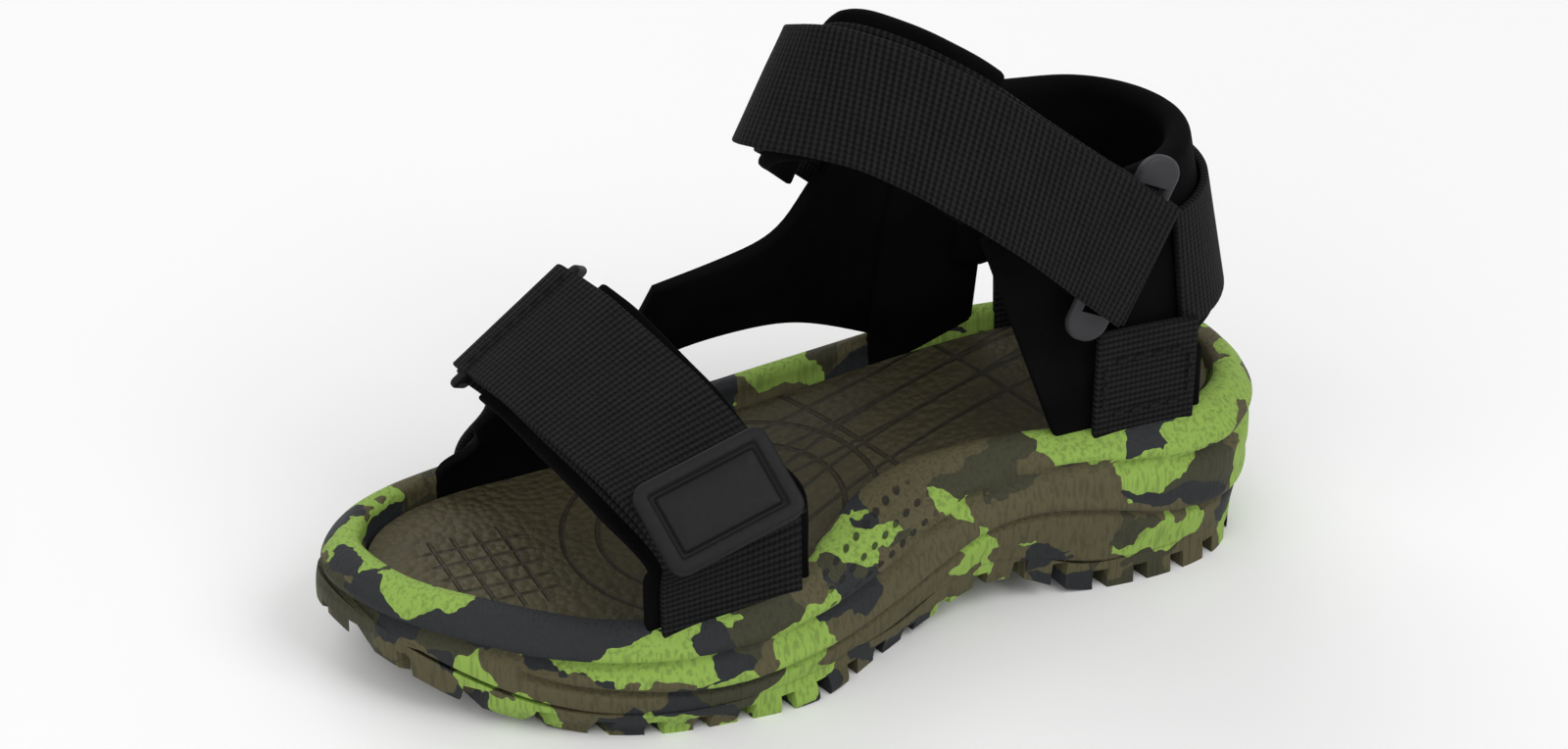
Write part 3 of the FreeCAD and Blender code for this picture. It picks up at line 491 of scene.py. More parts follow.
class Band:
    """A band between two edge curves, whose points are given in millimetres."""

    def __init__(self, lows: Sequence[Triple], highs: Sequence[Triple]) -> None:
        """Fits smooth curves through both edges.

        Args:
            lows: Points of the lower edge.
            highs: The matching points of the upper edge.
        """
        low, high = (np.array(edge, float) * MM for edge in (lows, highs))
        steps = np.linalg.norm(np.diff((low + high) / 2, axis=0), axis=1)
        self.length = float(steps.sum())
        self.knots = np.concatenate([[0], np.cumsum(steps)]) / self.length
        self.edges = np.hstack([low, high])
        self.bends = self._second_slopes()

    def _second_slopes(self) -> np.ndarray:
        """Second slopes of a natural cubic spline at its knots."""
        count = len(self.knots)
        gaps = np.diff(self.knots)
        table = np.eye(count)
        right = np.zeros_like(self.edges)
        for i in range(1, count - 1):
            table[i, i - 1: i + 2] = gaps[i - 1], 2 * (gaps[i - 1] + gaps[i]), gaps[i]
            right[i] = 6 * ((self.edges[i + 1] - self.edges[i]) / gaps[i]
                            - (self.edges[i] - self.edges[i - 1]) / gaps[i - 1])
        return np.linalg.solve(table, right)

    def _edge_points(self, u: float) -> Tuple[Vector, Vector]:
        """Both edges' points at a share of the length."""
        i = int(np.clip(np.searchsorted(self.knots, u) - 1, 0, len(self.knots) - 2))
        gap = self.knots[i + 1] - self.knots[i]
        a = (self.knots[i + 1] - u) / gap
        b = 1 - a
        spot = (a * self.edges[i] + b * self.edges[i + 1]
                + ((a ** 3 - a) * self.bends[i] + (b ** 3 - b) * self.bends[i + 1]) * gap * gap / 6)
        return Vector(spot[:3]), Vector(spot[3:])

    def frame(self, u: float) -> Tuple[Station, Vector]:
        """The band's cross-section and its run direction at a share of its length."""
        low, high = self._edge_points(u)
        before = self._edge_points(max(u - 0.004, 0.0))
        after = self._edge_points(min(u + 0.004, 1.0))
        run = (after[0] + after[1] - before[0] - before[1]).normalized()
        width = (high - low).normalized()
        out = run.cross(width).normalized()
        return Station((low + high) / 2, width, out, (high - low).length / 2), run

    def stations(self, start: float, end: float, depth: Union[float, Tuple[float, float]] = 0.0,
                 half: Optional[float] = None, shift: float = 0.0, facing: int = 1,
                 spacing: float = 1.6) -> List[Station]:
        """Cross-sections from one place to another.

        Args:
            start: Where they start, as a share of the length.
            end: Where they end; below start, they run backwards.
            depth: Depth of the strap's outer face in millimetres, or its depths at both ends.
            half: Half the strap's width in millimetres, or None for the band's own.
            shift: How far the strap lies off the middle, in millimetres.
            facing: 1 where the strap's face looks out, -1 where it looks in.
            spacing: Distance between cross-sections in millimetres.

        Returns:
            The cross-sections.
        """
        first, last = depth if isinstance(depth, tuple) else (depth, depth)
        count = max(int(abs(end - start) * self.length / (spacing * MM)), 2)
        found = []
        for i in range(count + 1):
            share = i / count
            at, _ = self.frame(start + (end - start) * share)
            middle = at.middle + at.width * shift * MM - at.out * (first + (last - first) * share) * MM
            found.append(Station(middle, at.width, at.out * facing, half * MM if half else at.half))
        return found


def turned(centre: Vector, width: Vector, first: Vector, over: Vector, radius: float, half: float,
           count: int = 10) -> List[Station]:
    """Cross-sections half round a bar.

    Args:
        centre: The bar's middle.
        width: Direction along the bar.
        first: Outward direction where the turn starts.
        over: Outward direction halfway round.
        radius: The strap's outer radius.
        half: Half the strap's width.
        count: How many steps it takes.

    Returns:
        The cross-sections.
    """
    found = []
    for i in range(count + 1):
        angle = math.pi * i / count
        out = first * math.cos(angle) + over * math.sin(angle)
        found.append(Station(centre + out * radius, width, out, half))
    return found


@dataclass
class Strap:
    """A strap of even thickness on a run of cross-sections."""

    name: str
    stations: Sequence[Station]
    thick: float
    material: bpy.types.Material
    across: int = 10
    rounding: float = 0.38
    crown: float = 0.0
    wave: float = 0.0
    upright: bool = False

    def _laid(self, bm: bmesh.types.BMesh) -> None:
        """Lays a flat grid on the cross-sections, with a UV map in metres along and across it."""
        count = len(self.stations) - 1
        bmesh.ops.create_grid(bm, x_segments=count, y_segments=self.across, size=0.5)
        along = [0.0]
        for a, b in zip(self.stations, self.stations[1:]):
            along.append(along[-1] + (b.middle - a.middle).length)
        uv = bm.loops.layers.uv.new("UVMap")
        row = bm.verts.layers.int.new("row")
        for vert in bm.verts:
            vert[row] = round((vert.co.x + 0.5) * count)
        for face in bm.faces:
            for loop in face.loops:
                at = self.stations[loop.vert[row]]
                place = (along[loop.vert[row]], loop.vert.co.y * 2 * at.half)
                loop[uv].uv = (place[1], place[0]) if self.upright else place
        for vert in bm.verts:
            at = self.stations[vert[row]]
            side = vert.co.y * 2
            ripple = self.wave * MM * math.sin(vert[row] * 0.9 + side * 2.0) * side * side
            lift = self.crown * MM * (1 - side * side) + ripple
            vert.co = at.middle + at.width * (side * at.half) + at.out * lift

    def mesh(self) -> bmesh.types.BMesh:
        """The strap's closed mesh."""
        bm = bmesh.new()
        self._laid(bm)
        row = bm.verts.layers.int["row"]
        grown = bmesh.ops.extrude_face_region(bm, geom=bm.faces[:] + bm.edges[:] + bm.verts[:])["geom"]
        for vert in (g for g in grown if isinstance(g, bmesh.types.BMVert)):
            vert.co -= self.stations[vert[row]].out * self.thick * MM
        bmesh.ops.recalc_face_normals(bm, faces=bm.faces)
        rims = [e for e in bm.edges if len(e.link_faces) == 2 and e.calc_face_angle() > 0.95]
        bmesh.ops.bevel(bm, geom=rims, offset=self.rounding * MM, offset_type="OFFSET", segments=2,
                        profile=0.5, affect="EDGES", material=-1, clamp_overlap=True)
        return bm

    def build(self, body: Body, slot: str, *nodes: str) -> bpy.types.Object:
        """Makes the piece and hangs it on its body.

        Args:
            body: The body it rides on.
            slot: A material slot's name; not used.
            nodes: The CAD nodes that it stands for.

        Returns:
            The piece.
        """
        piece = finished(self.name, self.mesh(), self.material)
        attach(piece, body.value)
        return claimed(piece, slot, *nodes)


def finished(name: str, bm: bmesh.types.BMesh, material: bpy.types.Material) -> bpy.types.Object:
    """Turns a bmesh into a smooth-shaded object.

    Args:
        name: The piece's name.
        bm: Its mesh, which is freed.
        material: Its finish.

    Returns:
        The object.
    """
    mesh = bpy.data.meshes.new(name)
    bm.to_mesh(mesh)
    bm.free()
    for polygon in mesh.polygons:
        polygon.use_smooth = True
    mesh.materials.append(material)
    piece = bpy.data.objects.new(name, mesh)
    bpy.context.scene.collection.objects.link(piece)
    return piece


def claimed(piece: bpy.types.Object, slot: str, *nodes: str) -> bpy.types.Object:
    """Hides the CAD nodes that a piece stands for and logs its face count."""
    if nodes:
        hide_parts(*nodes)
    log.info("%s: %d faces", piece.name, len(piece.data.polygons))
    return piece


def dressed(node: str, material: bpy.types.Material) -> None:
    """Gives a CAD node that stays a procedural finish."""
    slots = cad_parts[node].material_slots
    for place in slots:
        place.material = material
    log.info("%s: kept from the frame", node)


# --- sub-assemblies -------------------------------------------------------------------------------


@dataclass
class ToeStrap:
    """The strap over the toes: base, ring turn, flap, patches, lining and inner anchor."""

    finishes: Finishes
    web: float = 1.4
    half: float = 12.5
    hook_depth: float = 1.58
    loop_depth: float = 2.78
    base_depth: float = 3.86
    lining_depth: float = 5.44
    turn: float = 2.63
    hinge: float = 0.0433
    flap_end: float = 0.715
    lows: Tuple[Triple, ...] = (
        (52.4, -23.8, 43.4), (51.2, -10.0, 45.6), (49.0, 3.0, 45.8), (46.0, 15.5, 45.0), (43.0, 26.5, 43.2),
        (37.6, 36.7, 33.0), (39.0, 37.2, 28.35), (39.0, 37.2, 20.85), (39.0, 37.2, 10.05))
    highs: Tuple[Triple, ...] = (
        (34.0, -22.0, 59.0), (30.5, -9.0, 59.4), (27.2, 3.0, 57.0), (23.4, 14.5, 53.6), (19.8, 25.0, 48.8),
        (15.8, 36.7, 38.4), (14.3, 37.2, 30.85), (14.0, 37.2, 20.85), (14.0, 37.2, 10.05))
    anchor_lows: Tuple[Triple, ...] = (
        (51.0, -31.35, 9.32), (51.0, -31.35, 20.62), (45.53, -30.29, 32.98), (48.74, -30.61, 36.8))
    anchor_highs: Tuple[Triple, ...] = (
        (26.0, -31.35, 9.32), (26.0, -31.35, 20.62), (26.51, -28.43, 49.1), (29.72, -28.75, 52.92))

    def build(self) -> None:
        """Makes every piece of the strap."""
        band = Band(self.lows, self.highs)
        webbing, neoprene = self.finishes.webbing, self.finishes.neoprene
        start, run = band.frame(0.0)
        bar = start.middle - start.out * self.turn * MM
        loop = (band.stations(1.0, 0.0, self.base_depth + self.web, self.half, facing=-1)[:-1]
                + turned(bar, start.width, start.out * -1, run * -1, self.turn * MM, self.half * MM)
                + band.stations(0.0, self.hinge, 0.0, self.half)[1:])
        Strap("toe_webbing_base", loop, self.web, webbing).build(
            Body.SANDAL, "black_webbing", "toe_strap_base")
        flap = Strap("toe_webbing_flap", band.stations(self.hinge, self.flap_end, 0.0, self.half),
                     self.web, webbing, crown=0.15, wave=0.12)
        piece = finished(flap.name, flap.mesh(), webbing)
        at, along = band.frame(self.hinge)
        tuple(at.middle - along * 0.0005)
        tuple(at.middle + along * 0.007)
        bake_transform(piece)
        claimed(piece, "black_webbing", "toe_strap_flap")
        long = band.length / MM
        Strap("toe_hook_patch", band.stations(
            self.hinge + 8 / long, self.flap_end - 2 / long, self.hook_depth, self.half - 2),
            0.85, self.finishes.hook, rounding=0.2).build(Body.TOE_FLAP, "hook_tape", "toe_strap_hook_patch")
        Strap("toe_loop_patch", band.stations(
            self.hinge + 6 / long, self.flap_end - 1 / long, self.loop_depth, self.half - 2),
            0.9, self.finishes.loop, rounding=0.2).build(Body.SANDAL, "loop_tape", "toe_strap_loop_patch")
        Strap("toe_lining", band.stations(4 / long, 1.0, self.lining_depth, self.half + 2),
              2.4, neoprene, rounding=0.8, wave=0.1).build(Body.SANDAL, "black_neoprene", "toe_strap_lining")
        self._anchor()

    def _anchor(self) -> None:
        """Makes the doubled webbing and lining below the toe ring on the inner side."""
        band = Band(self.anchor_lows, self.anchor_highs)
        top, run = band.frame(1.0)
        bar = top.middle - top.out * self.turn * MM
        deep = 2 * self.turn - self.web
        loop = (band.stations(0.0, 1.0, 0.0, self.half)[:-1]
                + turned(bar, top.width, top.out, run, self.turn * MM, self.half * MM)
                + band.stations(1.0, 0.0, (deep + self.web, 1.58 + self.web), self.half, facing=-1)[1:])
        Strap("toe_inner_webbing", loop, self.web, self.finishes.webbing).build(
            Body.SANDAL, "black_webbing", "toe_inner_anchor")
        Strap("toe_inner_lining", band.stations(0.0, 0.86, (3.16, 5.3), 15.0, -2.5), 2.4,
              self.finishes.neoprene, rounding=0.8).build(Body.SANDAL, "black_neoprene", "toe_anchor_lining")
        dressed("toe_ring", self.finishes.badge)
        dressed("toe_fold_stitching", self.finishes.thread)


@dataclass
class Badge:
    """The blank rubber badge at the end of the toe flap: a raised frame round a sunk plate."""

    finishes: Finishes
    length: float = 24.5
    height: float = 16.5
    corner: float = 2.6
    section: tuple[tuple[float, float], ...] = (
        (0.0, 0.0), (0.0, 2.2), (0.12, 2.5), (0.45, 2.7), (1.9, 2.7), (2.25, 2.5), (2.4, 1.6),
        (3.1, 1.6), (3.25, 2.1), (3.6, 2.3), (6.0, 2.4))
    middle: Triple = (28.793, 32.344, 42.419)
    along: Triple = (0.9633, 0.0361, -0.2659)
    up: Triple = (-0.204, 0.7424, -0.6382)

    def build(self) -> None:
        """Makes the badge and hangs it on the flap."""
        along = Vector(self.along).normalized()
        normal = along.cross(Vector(self.up)).normalized()
        normal = normal if normal.z > 0 else -normal
        up = normal.cross(along)
        seat = Vector(self.middle)
        bm = bmesh.new()
        rings = [[seat + along * x + up * y + normal * height for x, y in self._outline(inset)]
                 for inset, height in self.section]
        loops = [[bm.verts.new(point * MM) for point in ring] for ring in rings]
        for lower, upper in zip(loops, loops[1:]):
            for i in range(len(lower)):
                bm.faces.new((lower[i - 1], lower[i], upper[i], upper[i - 1]))
        bm.faces.new(loops[0])
        bm.faces.new(loops[-1])
        bmesh.ops.recalc_face_normals(bm, faces=bm.faces)
        piece = finished("toe_badge", bm, self.finishes.badge)
        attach(piece, Body.TOE_FLAP.value)
        claimed(piece, "badge_rubber", "badge_frame", "badge_inlay")

    def _outline(self, inset: float) -> list[tuple[float, float]]:
        """A rounded rectangle a little inside the badge's edge.

        Args:
            inset: How far inside, in mm.

        Returns:
            Its points, in mm from the badge's middle.
        """
        radius = max(self.corner - inset, 0.5)
        wide, high = self.length / 2 - inset - radius, self.height / 2 - inset - radius
        points = []
        for turn, (x, y) in enumerate(((wide, high), (-wide, high), (-wide, -high), (wide, -high))):
            for step in range(7):
                angle = math.radians(90.0 * turn + 15.0 * step)
                points.append((x + radius * math.cos(angle), y + radius * math.sin(angle)))
        return points


@dataclass
class AnkleStrap:
    """The strap round the front of the ankle: base, ring loop, wrap, flap, patches and lining."""

    finishes: Finishes
    web: float = 1.4
    half: float = 11.25
    base_depth: float = 3.86
    hinge: float = 0.3328
    flap_end: float = 0.9534
    ring_at: float = 0.9268
    ring_depth: float = 4.25
    turn_out: float = 2.55
    bar_offset: float = 3.05
    lows: Tuple[Triple, ...] = (
        (-34.5, -25.5, 48.5), (-20.0, -25.5, 58.5), (-6.0, -22.5, 70.5), (4.0, -15.5, 79.5), (7.9, -7.0, 84.6),
        (5.4, 1.5, 86.6), (-0.4, 9.0, 87.0), (-7.6, 16.5, 85.0), (-16.7, 24.0, 80.0), (-27.0, 28.0, 71.4),
        (-35.7, 29.0, 63.3), (-44.6, 29.0, 55.4), (-50.0, 29.0, 50.6))
    highs: Tuple[Triple, ...] = (
        (-43.5, -23.5, 69.0), (-29.0, -23.0, 79.0), (-14.0, -20.0, 91.5), (-4.0, -13.5, 100.0),
        (-0.7, -6.0, 104.3), (-1.6, 0.5, 107.2), (-5.6, 7.0, 108.6), (-13.0, 14.0, 107.4), (-23.7, 22.0, 102.0),
        (-34.2, 26.0, 94.6), (-44.8, 28.0, 85.6), (-55.6, 28.4, 75.6), (-61.8, 28.4, 69.8))

    def build(self) -> None:
        """Makes every piece of the strap."""
        band = Band(self.lows, self.highs)
        webbing = self.finishes.webbing
        long = band.length / MM
        base_end = self.ring_at - (self.bar_offset + 6.3) / long
        at, run = band.frame(self.ring_at)
        centre = at.middle - at.out * self.ring_depth * MM
        front = centre - run * self.bar_offset * MM
        rear = centre + run * self.bar_offset * MM
        half, turn = self.half * MM, self.turn_out * MM
        base = band.stations(0.0, base_end, self.base_depth + self.web, self.half, facing=-1)
        loop = turned(front, at.width, at.out * -1, run, turn, half)
        tail = [Station(loop[-1].middle - run * 0.0025 * i, at.width, at.out, half) for i in (1, 2)]
        Strap("ankle_webbing_base", base + loop + tail, self.web, webbing).build(
            Body.SANDAL, "black_webbing", "ankle_strap_base", "ankle_ring_loop")
        tab = turned(rear, at.width, at.out * -1, run * -1, turn, half)
        tab = [Station(tab[0].middle + run * 0.002 * i, at.width, tab[0].out, half) for i in (3, 2, 1)] + tab
        Strap("ring_tab_webbing", tab, self.web, webbing).build(Body.SANDAL, "black_webbing", "ring_tab")
        Strap("ankle_webbing_wrap", band.stations(0.02, self.hinge, 0.0, self.half), self.web, webbing).build(
            Body.SANDAL, "black_webbing", "ankle_strap_wrap")
        flap = Strap("ankle_webbing_flap", band.stations(self.hinge, self.flap_end, 0.0, self.half),
                     self.web, webbing, crown=0.1, wave=0.12)
        piece = finished(flap.name, flap.mesh(), webbing)
        hinge, along = band.frame(self.hinge)
        tuple(hinge.middle - along * 0.0005)
        tuple(hinge.middle + along * 0.007)
        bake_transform(piece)
        claimed(piece, "black_webbing", "ankle_strap_flap")
        Strap("ankle_hook_tape", band.stations(
            self.hinge + 8 / long, self.ring_at - 12 / long, 1.58, self.half - 2),
            0.85, self.finishes.hook, rounding=0.2).build(Body.ANKLE_FLAP, "hook_tape", "ankle_hook_patch")
        Strap("ankle_loop_tape", band.stations(
            self.hinge + 4 / long, self.ring_at - 11.5 / long, 2.78, self.half - 2),
            0.9, self.finishes.loop, rounding=0.2).build(Body.SANDAL, "loop_tape", "ankle_loop_patch")
        Strap("instep_pad", band.stations(40 / long, 106 / long, 5.44, self.half + 2), 2.4,
              self.finishes.neoprene, rounding=0.8, wave=0.1).build(
                  Body.SANDAL, "black_neoprene", "instep_lining")
        dressed("ankle_ring", self.finishes.ring)


@dataclass
class HeelUnit:
    """The padded collar, the webbing round the heel and the panels that stand in the sole."""

    finishes: Finishes
    collar_thick: float = 5.0
    collar_lows: Tuple[Triple, ...] = (
        (-47.5, 22.0, 43.0), (-61.0, 21.0, 43.0), (-72.0, 14.5, 43.0), (-77.0, 1.5, 43.0),
        (-73.0, -11.0, 43.0), (-61.5, -18.5, 43.0), (-47.5, -20.5, 43.0), (-37.0, -20.6, 44.5))
    collar_highs: Tuple[Triple, ...] = (
        (-49.5, 21.0, 79.0), (-58.5, 18.5, 79.0), (-66.5, 12.0, 79.0), (-70.5, 1.2, 79.0),
        (-67.0, -9.5, 79.0), (-59.0, -16.5, 79.0), (-49.5, -18.5, 79.3), (-37.5, -18.8, 80.5))

    def build(self) -> None:
        """Makes every piece of the heel."""
        band = Band(self.collar_lows, self.collar_highs)
        self._collar(band)
        Strap("heel_webbing", band.stations(0.14, 0.78, -1.58, 11.25, -3.0), 1.4,
              self.finishes.webbing).build(Body.SANDAL, "black_webbing", "heel_strap")
        panels = (
            ("quarter_front", ((-41.8, 21.37, 20.59), (-44.0, 21.37, 20.59), (-47.2, 21.37, 20.59)),
             ((-24.5, 19.6, 71.0), (-34.5, 20.6, 76.0), (-47.2, 20.8, 78.0)), ("quarter_panel",)),
            ("quarter_rear", ((-46.2, 21.37, 20.59), (-56.0, 21.37, 20.59), (-66.0, 21.37, 20.59)),
             ((-46.2, 21.37, 42.7), (-56.0, 21.37, 42.7), (-66.0, 21.37, 42.7)), ()),
            ("arch_rear", ((-46.9, -20.3, 43.3), (-44.7, -20.5, 43.0), (-42.5, -20.8, 42.6)),
             ((-46.9, -16.4, 74.0), (-44.7, -16.0, 74.5), (-42.5, -15.6, 75.0)), ()),
            ("arch_foot", ((-43.5, -25.68, 19.07), (-33.5, -25.68, 19.07), (-23.5, -25.68, 19.07)),
             ((-43.5, -15.4, 75.0), (-33.5, -15.0, 76.0), (-23.5, -14.0, 76.5)), ("arch_panel",)),
            ("arch_band", ((-24.5, -25.68, 31.0), (-12.0, -26.88, 35.6), (-2.0, -27.0, 37.0), (10.0, -28.0, 35.4),
                           (24.2, -28.9, 30.5)),
             ((-24.5, -14.0, 76.5), (-11.5, -14.6, 73.0), (-4.8, -15.8, 63.0), (2.0, -19.6, 56.0),
              (16.2, -25.0, 49.5)), ()))
        for name, lows, highs, nodes in panels:
            Strap(name + "_cloth", Band(lows, highs).stations(0.0, 1.0), 2.4, self.finishes.neoprene,
                  across=24, rounding=0.8).build(Body.SANDAL, "black_neoprene", *nodes)
        anchors = (
            ("quarter_anchor_webbing", ((-44.5, 22.95, 20.59), (-54.0, 22.95, 20.59), (-63.5, 22.95, 20.59)),
             ((-44.5, 23.98, 51.0), (-54.0, 23.98, 50.7), (-63.5, 23.98, 50.2)), "quarter_anchor"),
            ("inner_anchor_webbing", ((-66.5, -21.26, 20.78), (-57.0, -21.26, 20.78), (-47.5, -21.26, 20.78)),
             ((-66.5, -22.2, 46.2), (-57.0, -22.2, 46.2), (-47.5, -22.4, 46.2)), "inner_anchor"))
        for name, lows, highs, node in anchors:
            Strap(name, Band(lows, highs).stations(0.0, 1.0), 1.4, self.finishes.webbing, across=20,
                  upright=True).build(Body.SANDAL, "black_webbing", node)
        dressed("anchor_stitching", self.finishes.thread)

    def _collar(self, band: Band) -> None:
        """Makes the collar, puffed by a cloth run so that its faces crown between its edges."""
        strap = Strap("heel_collar_pad", band.stations(0.0, 1.0, 0.25, spacing=2.4), self.collar_thick - 0.5,
                      self.finishes.neoprene, across=16, rounding=1.9)
        bm = strap.mesh()
        bmesh.ops.smooth_vert(bm, verts=bm.verts, factor=0.4, use_axis_x=True, use_axis_y=True, use_axis_z=True)
        piece = finished(strap.name, bm, self.finishes.neoprene)
        puffed(piece, 1.1 * MM)
        softened = piece.modifiers.new("softened", "SUBSURF")
        softened.levels = softened.render_levels = 1
        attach(piece, Body.SANDAL.value)
        claimed(piece, "black_neoprene", "heel_collar")


def puffed(piece: bpy.types.Object, most: float) -> None:
    """Runs cloth with pressure inside a closed piece and keeps how it swells.

    Args:
        piece: The piece, whose mesh takes the result.
        most: The furthest that any point may move.
    """
    cloth = piece.modifiers.new("cloth", "CLOTH")
    cloth.settings.use_pressure = True
    cloth.settings.uniform_pressure_force = 4.0
    cloth.settings.quality = 6
    cloth.settings.mass = 0.2
    cloth.settings.tension_stiffness = 30
    cloth.settings.compression_stiffness = 30
    cloth.settings.bending_stiffness = 4
    cloth.settings.effector_weights.gravity = 0.0
    scene = bpy.context.scene
    scene.frame_start, scene.frame_end = 1, 20
    for step in range(1, 21):
        scene.frame_set(step)
    shown = piece.evaluated_get(bpy.context.evaluated_depsgraph_get())
    swollen = [v.co.copy() for v in shown.data.vertices]
    piece.modifiers.remove(cloth)
    scene.frame_set(1)
    for vert, spot in zip(piece.data.vertices, swollen):
        move = spot - vert.co
        vert.co += move.normalized() * min(move.length, most) if move.length > 0 else move
    log.info("%s: cloth run done", piece.name)


Plan = Tuple[Tuple[float, float], ...]


@dataclass
class Sole:
    """The footbed, the ridged foam sidewall and the lugged outsole."""

    finishes: Finishes
    length: float = 166.0
    width: float = 70.0
    lip: float = 3.4
    groove: float = 1.2
    shoulder: float = 9.0
    skin: float = 5.6
    columns: int = 260
    sidewall: Plan = (
        (0.500, -0.143), (0.479, 0.029), (0.434, 0.179), (0.349, 0.371), (0.253, 0.493), (0.163, 0.529),
        (0.072, 0.500), (-0.012, 0.436), (-0.096, 0.371), (-0.181, 0.357), (-0.277, 0.386),
        (-0.361, 0.386), (-0.434, 0.336), (-0.482, 0.200), (-0.500, 0.029), (-0.488, -0.143),
        (-0.446, -0.271), (-0.373, -0.343), (-0.277, -0.379), (-0.169, -0.400), (-0.048, -0.421),
        (0.072, -0.450), (0.193, -0.471), (0.301, -0.464), (0.392, -0.421), (0.458, -0.321))
    bed: Plan = (
        (0.446, -0.129), (0.422, 0.029), (0.373, 0.157), (0.301, 0.300), (0.229, 0.386), (0.157, 0.414),
        (0.084, 0.393), (0.030, 0.300), (-0.024, 0.214), (-0.090, 0.179), (-0.193, 0.214),
        (-0.301, 0.264), (-0.380, 0.250), (-0.434, 0.171), (-0.455, 0.029), (-0.440, -0.114),
        (-0.392, -0.221), (-0.313, -0.271), (-0.217, -0.293), (-0.108, -0.307), (0.000, -0.329),
        (0.120, -0.357), (0.241, -0.364), (0.337, -0.350), (0.404, -0.286), (0.434, -0.214))
    rim: Plan = ((-85.5, 30.7), (-45.6, 31.5), (-10.0, 27.0), (24.9, 21.5), (51.5, 20.5), (85.5, 22.5))
    ground: Plan = ((-85.5, 5.0), (-79.0, 1.3), (-71.4, 0.0), (-46.5, 0.0), (-36.0, 3.0), (-25.7, 6.0),
                    (-14.5, 3.0), (-3.3, 0.0), (46.5, 0.0), (56.0, 1.2), (66.0, 4.2), (76.0, 8.4), (85.5, 13.0))
    outer_ridge: Plan = ((-85.0, 25.0), (-76.0, 25.0), (-63.0, 24.7), (-50.0, 26.6), (-42.0, 27.6), (-33.5, 27.4),
                         (-24.0, 26.0), (-15.0, 22.6), (-7.0, 20.3), (6.0, 18.0), (20.0, 16.4), (36.0, 15.6),
                         (60.0, 15.8), (85.0, 18.0))
    inner_ridge: Plan = ((-85.0, 25.0), (-60.0, 24.5), (-30.0, 21.0), (0.0, 17.5), (40.0, 15.4), (85.0, 18.0))
    low_ridge: Plan = ((-85.0, 12.5), (-70.0, 12.0), (-58.0, 13.6), (-46.0, 17.6), (-36.0, 19.4), (-25.0, 18.6),
                       (-10.0, 12.6), (5.0, 9.8), (30.0, 9.2), (55.0, 11.4), (70.0, 14.6), (85.0, 19.0))

    def build(self) -> None:
        """Makes the sidewall and dresses the pieces that stay."""
        shell = finished("midsole_foam", self._shell(), self.finishes.camo)
        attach(shell, Body.SANDAL.value)
        claimed(shell, "camo_foam", "midsole")
        dressed("outsole", self.finishes.camo)
        dressed("footbed", self.finishes.footbed)

    def _plan(self, points: Plan) -> np.ndarray:
        """A closed outline's smooth points at every column, in millimetres.

        Args:
            points: Its points as shares of the length and width.

        Returns:
            One row per column.
        """
        ring = np.array(points) * (self.length, self.width)
        count = len(ring)
        places = np.linspace(0, count, self.columns, endpoint=False)
        found = []
        for place in places:
            i = int(place)
            t = place - i
            a, b, c, d = (ring[(i + k) % count] for k in (-1, 0, 1, 2))
            found.append(0.5 * ((2 * b) + (c - a) * t + (2 * a - 5 * b + 4 * c - d) * t * t
                                + (3 * b - a - 3 * c + d) * t ** 3))
        return np.array(found)

    @staticmethod
    def _moved(ring: np.ndarray, distance: float) -> np.ndarray:
        """An outline moved outwards."""
        run = np.roll(ring, -1, axis=0) - np.roll(ring, 1, axis=0)
        run /= np.linalg.norm(run, axis=1)[:, None]
        return ring + np.stack([run[:, 1], -run[:, 0]], axis=1) * distance

    @staticmethod
    def _level(line: Plan, x: float) -> float:
        """Height of a side-view line at x, eased between its points."""
        xs, zs = zip(*line)
        return float(np.mean([np.interp(x + d, xs, zs) for d in (-4.0, -2.0, 0.0, 2.0, 4.0)]))

    def _carved(self, x: float, y: float, z: float, drop: float) -> float:
        """How far the sidewall stands out or in at a place, from its ridges and grooves.

        Args:
            x: Place along the sole, in millimetres.
            y: Place across it.
            z: Height.
            drop: Distance below the rim.

        Returns:
            The move outwards in millimetres.
        """
        ridge = self._level(self.outer_ridge if y > 0 else self.inner_ridge, x)
        low = self._level(self.low_ridge, x)
        above = z - ridge
        move = 1.1 * math.exp(-((above - 1.9) / 1.8) ** 2) - 2.0 * math.exp(-((above + 1.0) / 0.85) ** 2)
        under = z - low
        if ridge - low > 3.5:
            move += 0.7 * math.exp(-((under - 1.5) / 1.3) ** 2) - 1.3 * math.exp(-((under + 0.6) / 0.65) ** 2)
        return move * min(max((drop - 1.0) / 3.0, 0.0), 1.0)

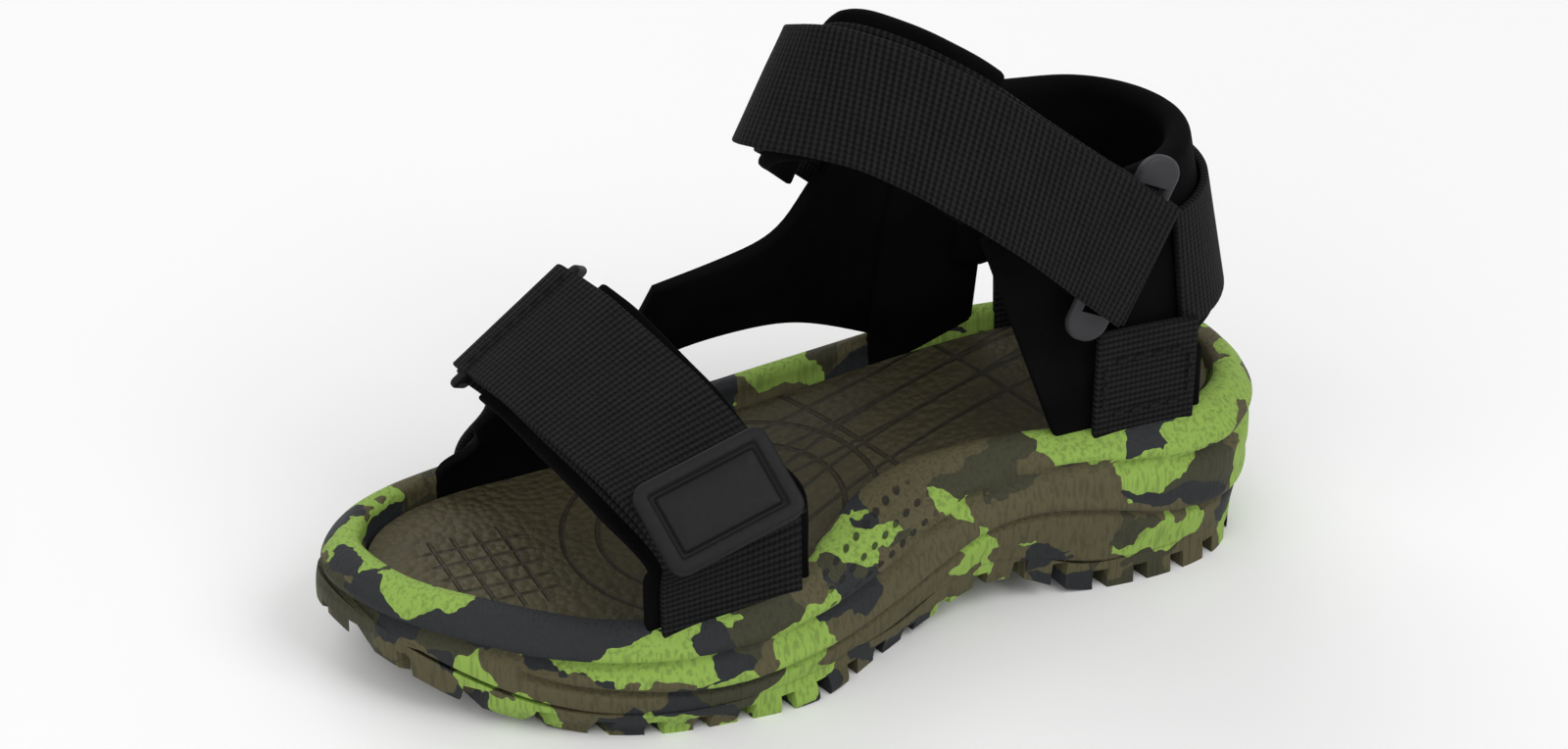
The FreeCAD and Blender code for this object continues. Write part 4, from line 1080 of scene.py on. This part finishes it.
    def _shell(self) -> bmesh.types.BMesh:
        """The sidewall's closed mesh: lip, rolled shoulder, ridges and the pocket under the footbed."""
        outer, bed = self._plan(self.sidewall), self._plan(self.bed)
        tucked, lip, wall = self._moved(outer, -2.6), self._moved(bed, self.lip), self._moved(bed, self.groove)
        crest = self._moved(bed, (self.lip + self.groove) / 2 - 0.2)
        normals = self._moved(outer, 1.0) - outer
        rolls, sides = 9, 30
        rows = 4 + rolls + sides
        bm = bmesh.new()
        bmesh.ops.create_grid(bm, x_segments=self.columns, y_segments=rows, size=0.5)
        for vert in bm.verts:
            i = round((vert.co.x + 0.5) * self.columns) % self.columns
            j = round((vert.co.y + 0.5) * rows)
            top = self._level(self.rim, float(outer[i][0]))
            if j < 4:
                x, y = (wall, wall, wall, crest)[j][i]
                z = top - (self.skin + 2.4, 2.0, 0.9, 0.1)[j]
            else:
                if j <= 4 + rolls:
                    angle = math.pi / 2 * (1 - (j - 4) / rolls)
                    drop, share = self.shoulder * (1 - math.sin(angle)), 1 - math.cos(angle)
                else:
                    foot = self._level(self.ground, float(outer[i][0])) + self.skin - 0.1
                    drop = self.shoulder + (top - foot - self.shoulder) * (j - 4 - rolls) / sides
                    share = 0.0
                tuck = min(max((drop - self.shoulder - 3) / 14, 0.0), 1.0)
                z = top - drop
                spot = outer[i] + (lip[i] - outer[i]) * share + (tucked[i] - outer[i]) * tuck
                x, y = spot + normals[i] * self._carved(float(spot[0]), float(spot[1]), z, drop)
            vert.co = Vector((x, y, z)) * MM
        bmesh.ops.remove_doubles(bm, verts=bm.verts, dist=1e-6)
        bmesh.ops.holes_fill(bm, edges=[e for e in bm.edges if e.is_boundary], sides=0)
        bmesh.ops.recalc_face_normals(bm, faces=bm.faces)
        return bm


# --- studio -----------------------------------------------------------------------------------------


@dataclass
class Studio:
    """The floor, lights, world and camera."""

    target: Triple = (0.00255, 0.0, 0.042)
    azimuth: float = 155.8
    elevation: float = 31.6
    distance: float = 0.8
    lens: float = 109.1

    def build(self) -> None:
        """Sets up the studio."""
        self._floor()
        self._world()
        for name, place, power, size in (
                ("key", (-0.5, 0.9, 1.1), 9.0, 0.9), ("fill", (0.9, 0.5, 0.8), 5.0, 1.2),
                ("back", (0.1, -1.0, 0.9), 5.0, 1.0)):
            self._light(name, Vector(place), power, size)
        self._camera()
        bpy.context.scene.view_settings.view_transform = "Standard"

    def _floor(self) -> None:
        """Lays a wide pale floor at the ground."""
        bm = bmesh.new()
        bmesh.ops.create_circle(bm, cap_ends=True, segments=64, radius=6.0)
        s = ShaderSheet("floor_paint")
        floor = finished("floor", bm, s.finish((0.93, 0.93, 0.93, 1.0), 0.9))

    def _world(self) -> None:
        """Makes the world white to the camera and pale to everything else."""
        world = bpy.data.worlds.new("studio")
        bpy.context.scene.world = world
        world.use_nodes = True
        tree = world.node_tree
        tree.nodes.clear()
        path = tree.nodes.new("ShaderNodeLightPath")
        seen = tree.nodes.new("ShaderNodeMath")
        seen.operation = "MAXIMUM"
        tree.links.new(path.outputs["Is Camera Ray"], seen.inputs[0])
        tree.links.new(path.outputs["Is Glossy Ray"], seen.inputs[1])
        glow = tree.nodes.new("ShaderNodeMapRange")
        tree.links.new(seen.outputs[0], glow.inputs["Value"])
        glow.inputs["To Min"].default_value = 0.62
        glow.inputs["To Max"].default_value = 1.0
        light = tree.nodes.new("ShaderNodeBackground")
        tree.links.new(glow.outputs[0], light.inputs["Strength"])
        end = tree.nodes.new("ShaderNodeOutputWorld")
        tree.links.new(light.outputs[0], end.inputs["Surface"])

    def _light(self, name: str, place: Vector, power: float, size: float) -> None:
        """Hangs one soft lamp that faces the sandal."""
        lamp = bpy.data.lights.new(name, "AREA")
        lamp.energy = power
        lamp.size = size
        hung = bpy.data.objects.new(name, lamp)
        hung.location = place
        hung.rotation_euler = (Vector(self.target) - place).to_track_quat("-Z", "Y").to_euler()
        bpy.context.scene.collection.objects.link(hung)

    def _camera(self) -> None:
        """Sets the camera at its viewing angle."""
        turn, lift = math.radians(self.azimuth), math.radians(self.elevation)
        back = Vector((math.sin(turn) * math.cos(lift), -math.cos(turn) * math.cos(lift), math.sin(lift)))
        made = bpy.data.cameras.new("camera")
        made.lens = self.lens
        made.sensor_width = 36.0
        made.clip_start, made.clip_end = 0.01, 50.0
        camera = bpy.data.objects.new("camera", made)
        camera.location = Vector(self.target) + back * self.distance
        camera.rotation_euler = (back * -1).to_track_quat("-Z", "Y").to_euler()
        bpy.context.scene.collection.objects.link(camera)
        bpy.context.scene.camera = camera


def main() -> None:
    """Builds every sub-assembly in order."""
    logging.basicConfig(level=logging.INFO, format="%(name)s %(message)s")
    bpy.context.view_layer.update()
    finishes = Finishes()
    Sole(finishes).build()
    ToeStrap(finishes).build()
    Badge(finishes).build()
    AnkleStrap(finishes).build()
    HeelUnit(finishes).build()
    Studio().build()
    bpy.context.view_layer.update()


if __name__ == "__main__":
    main()
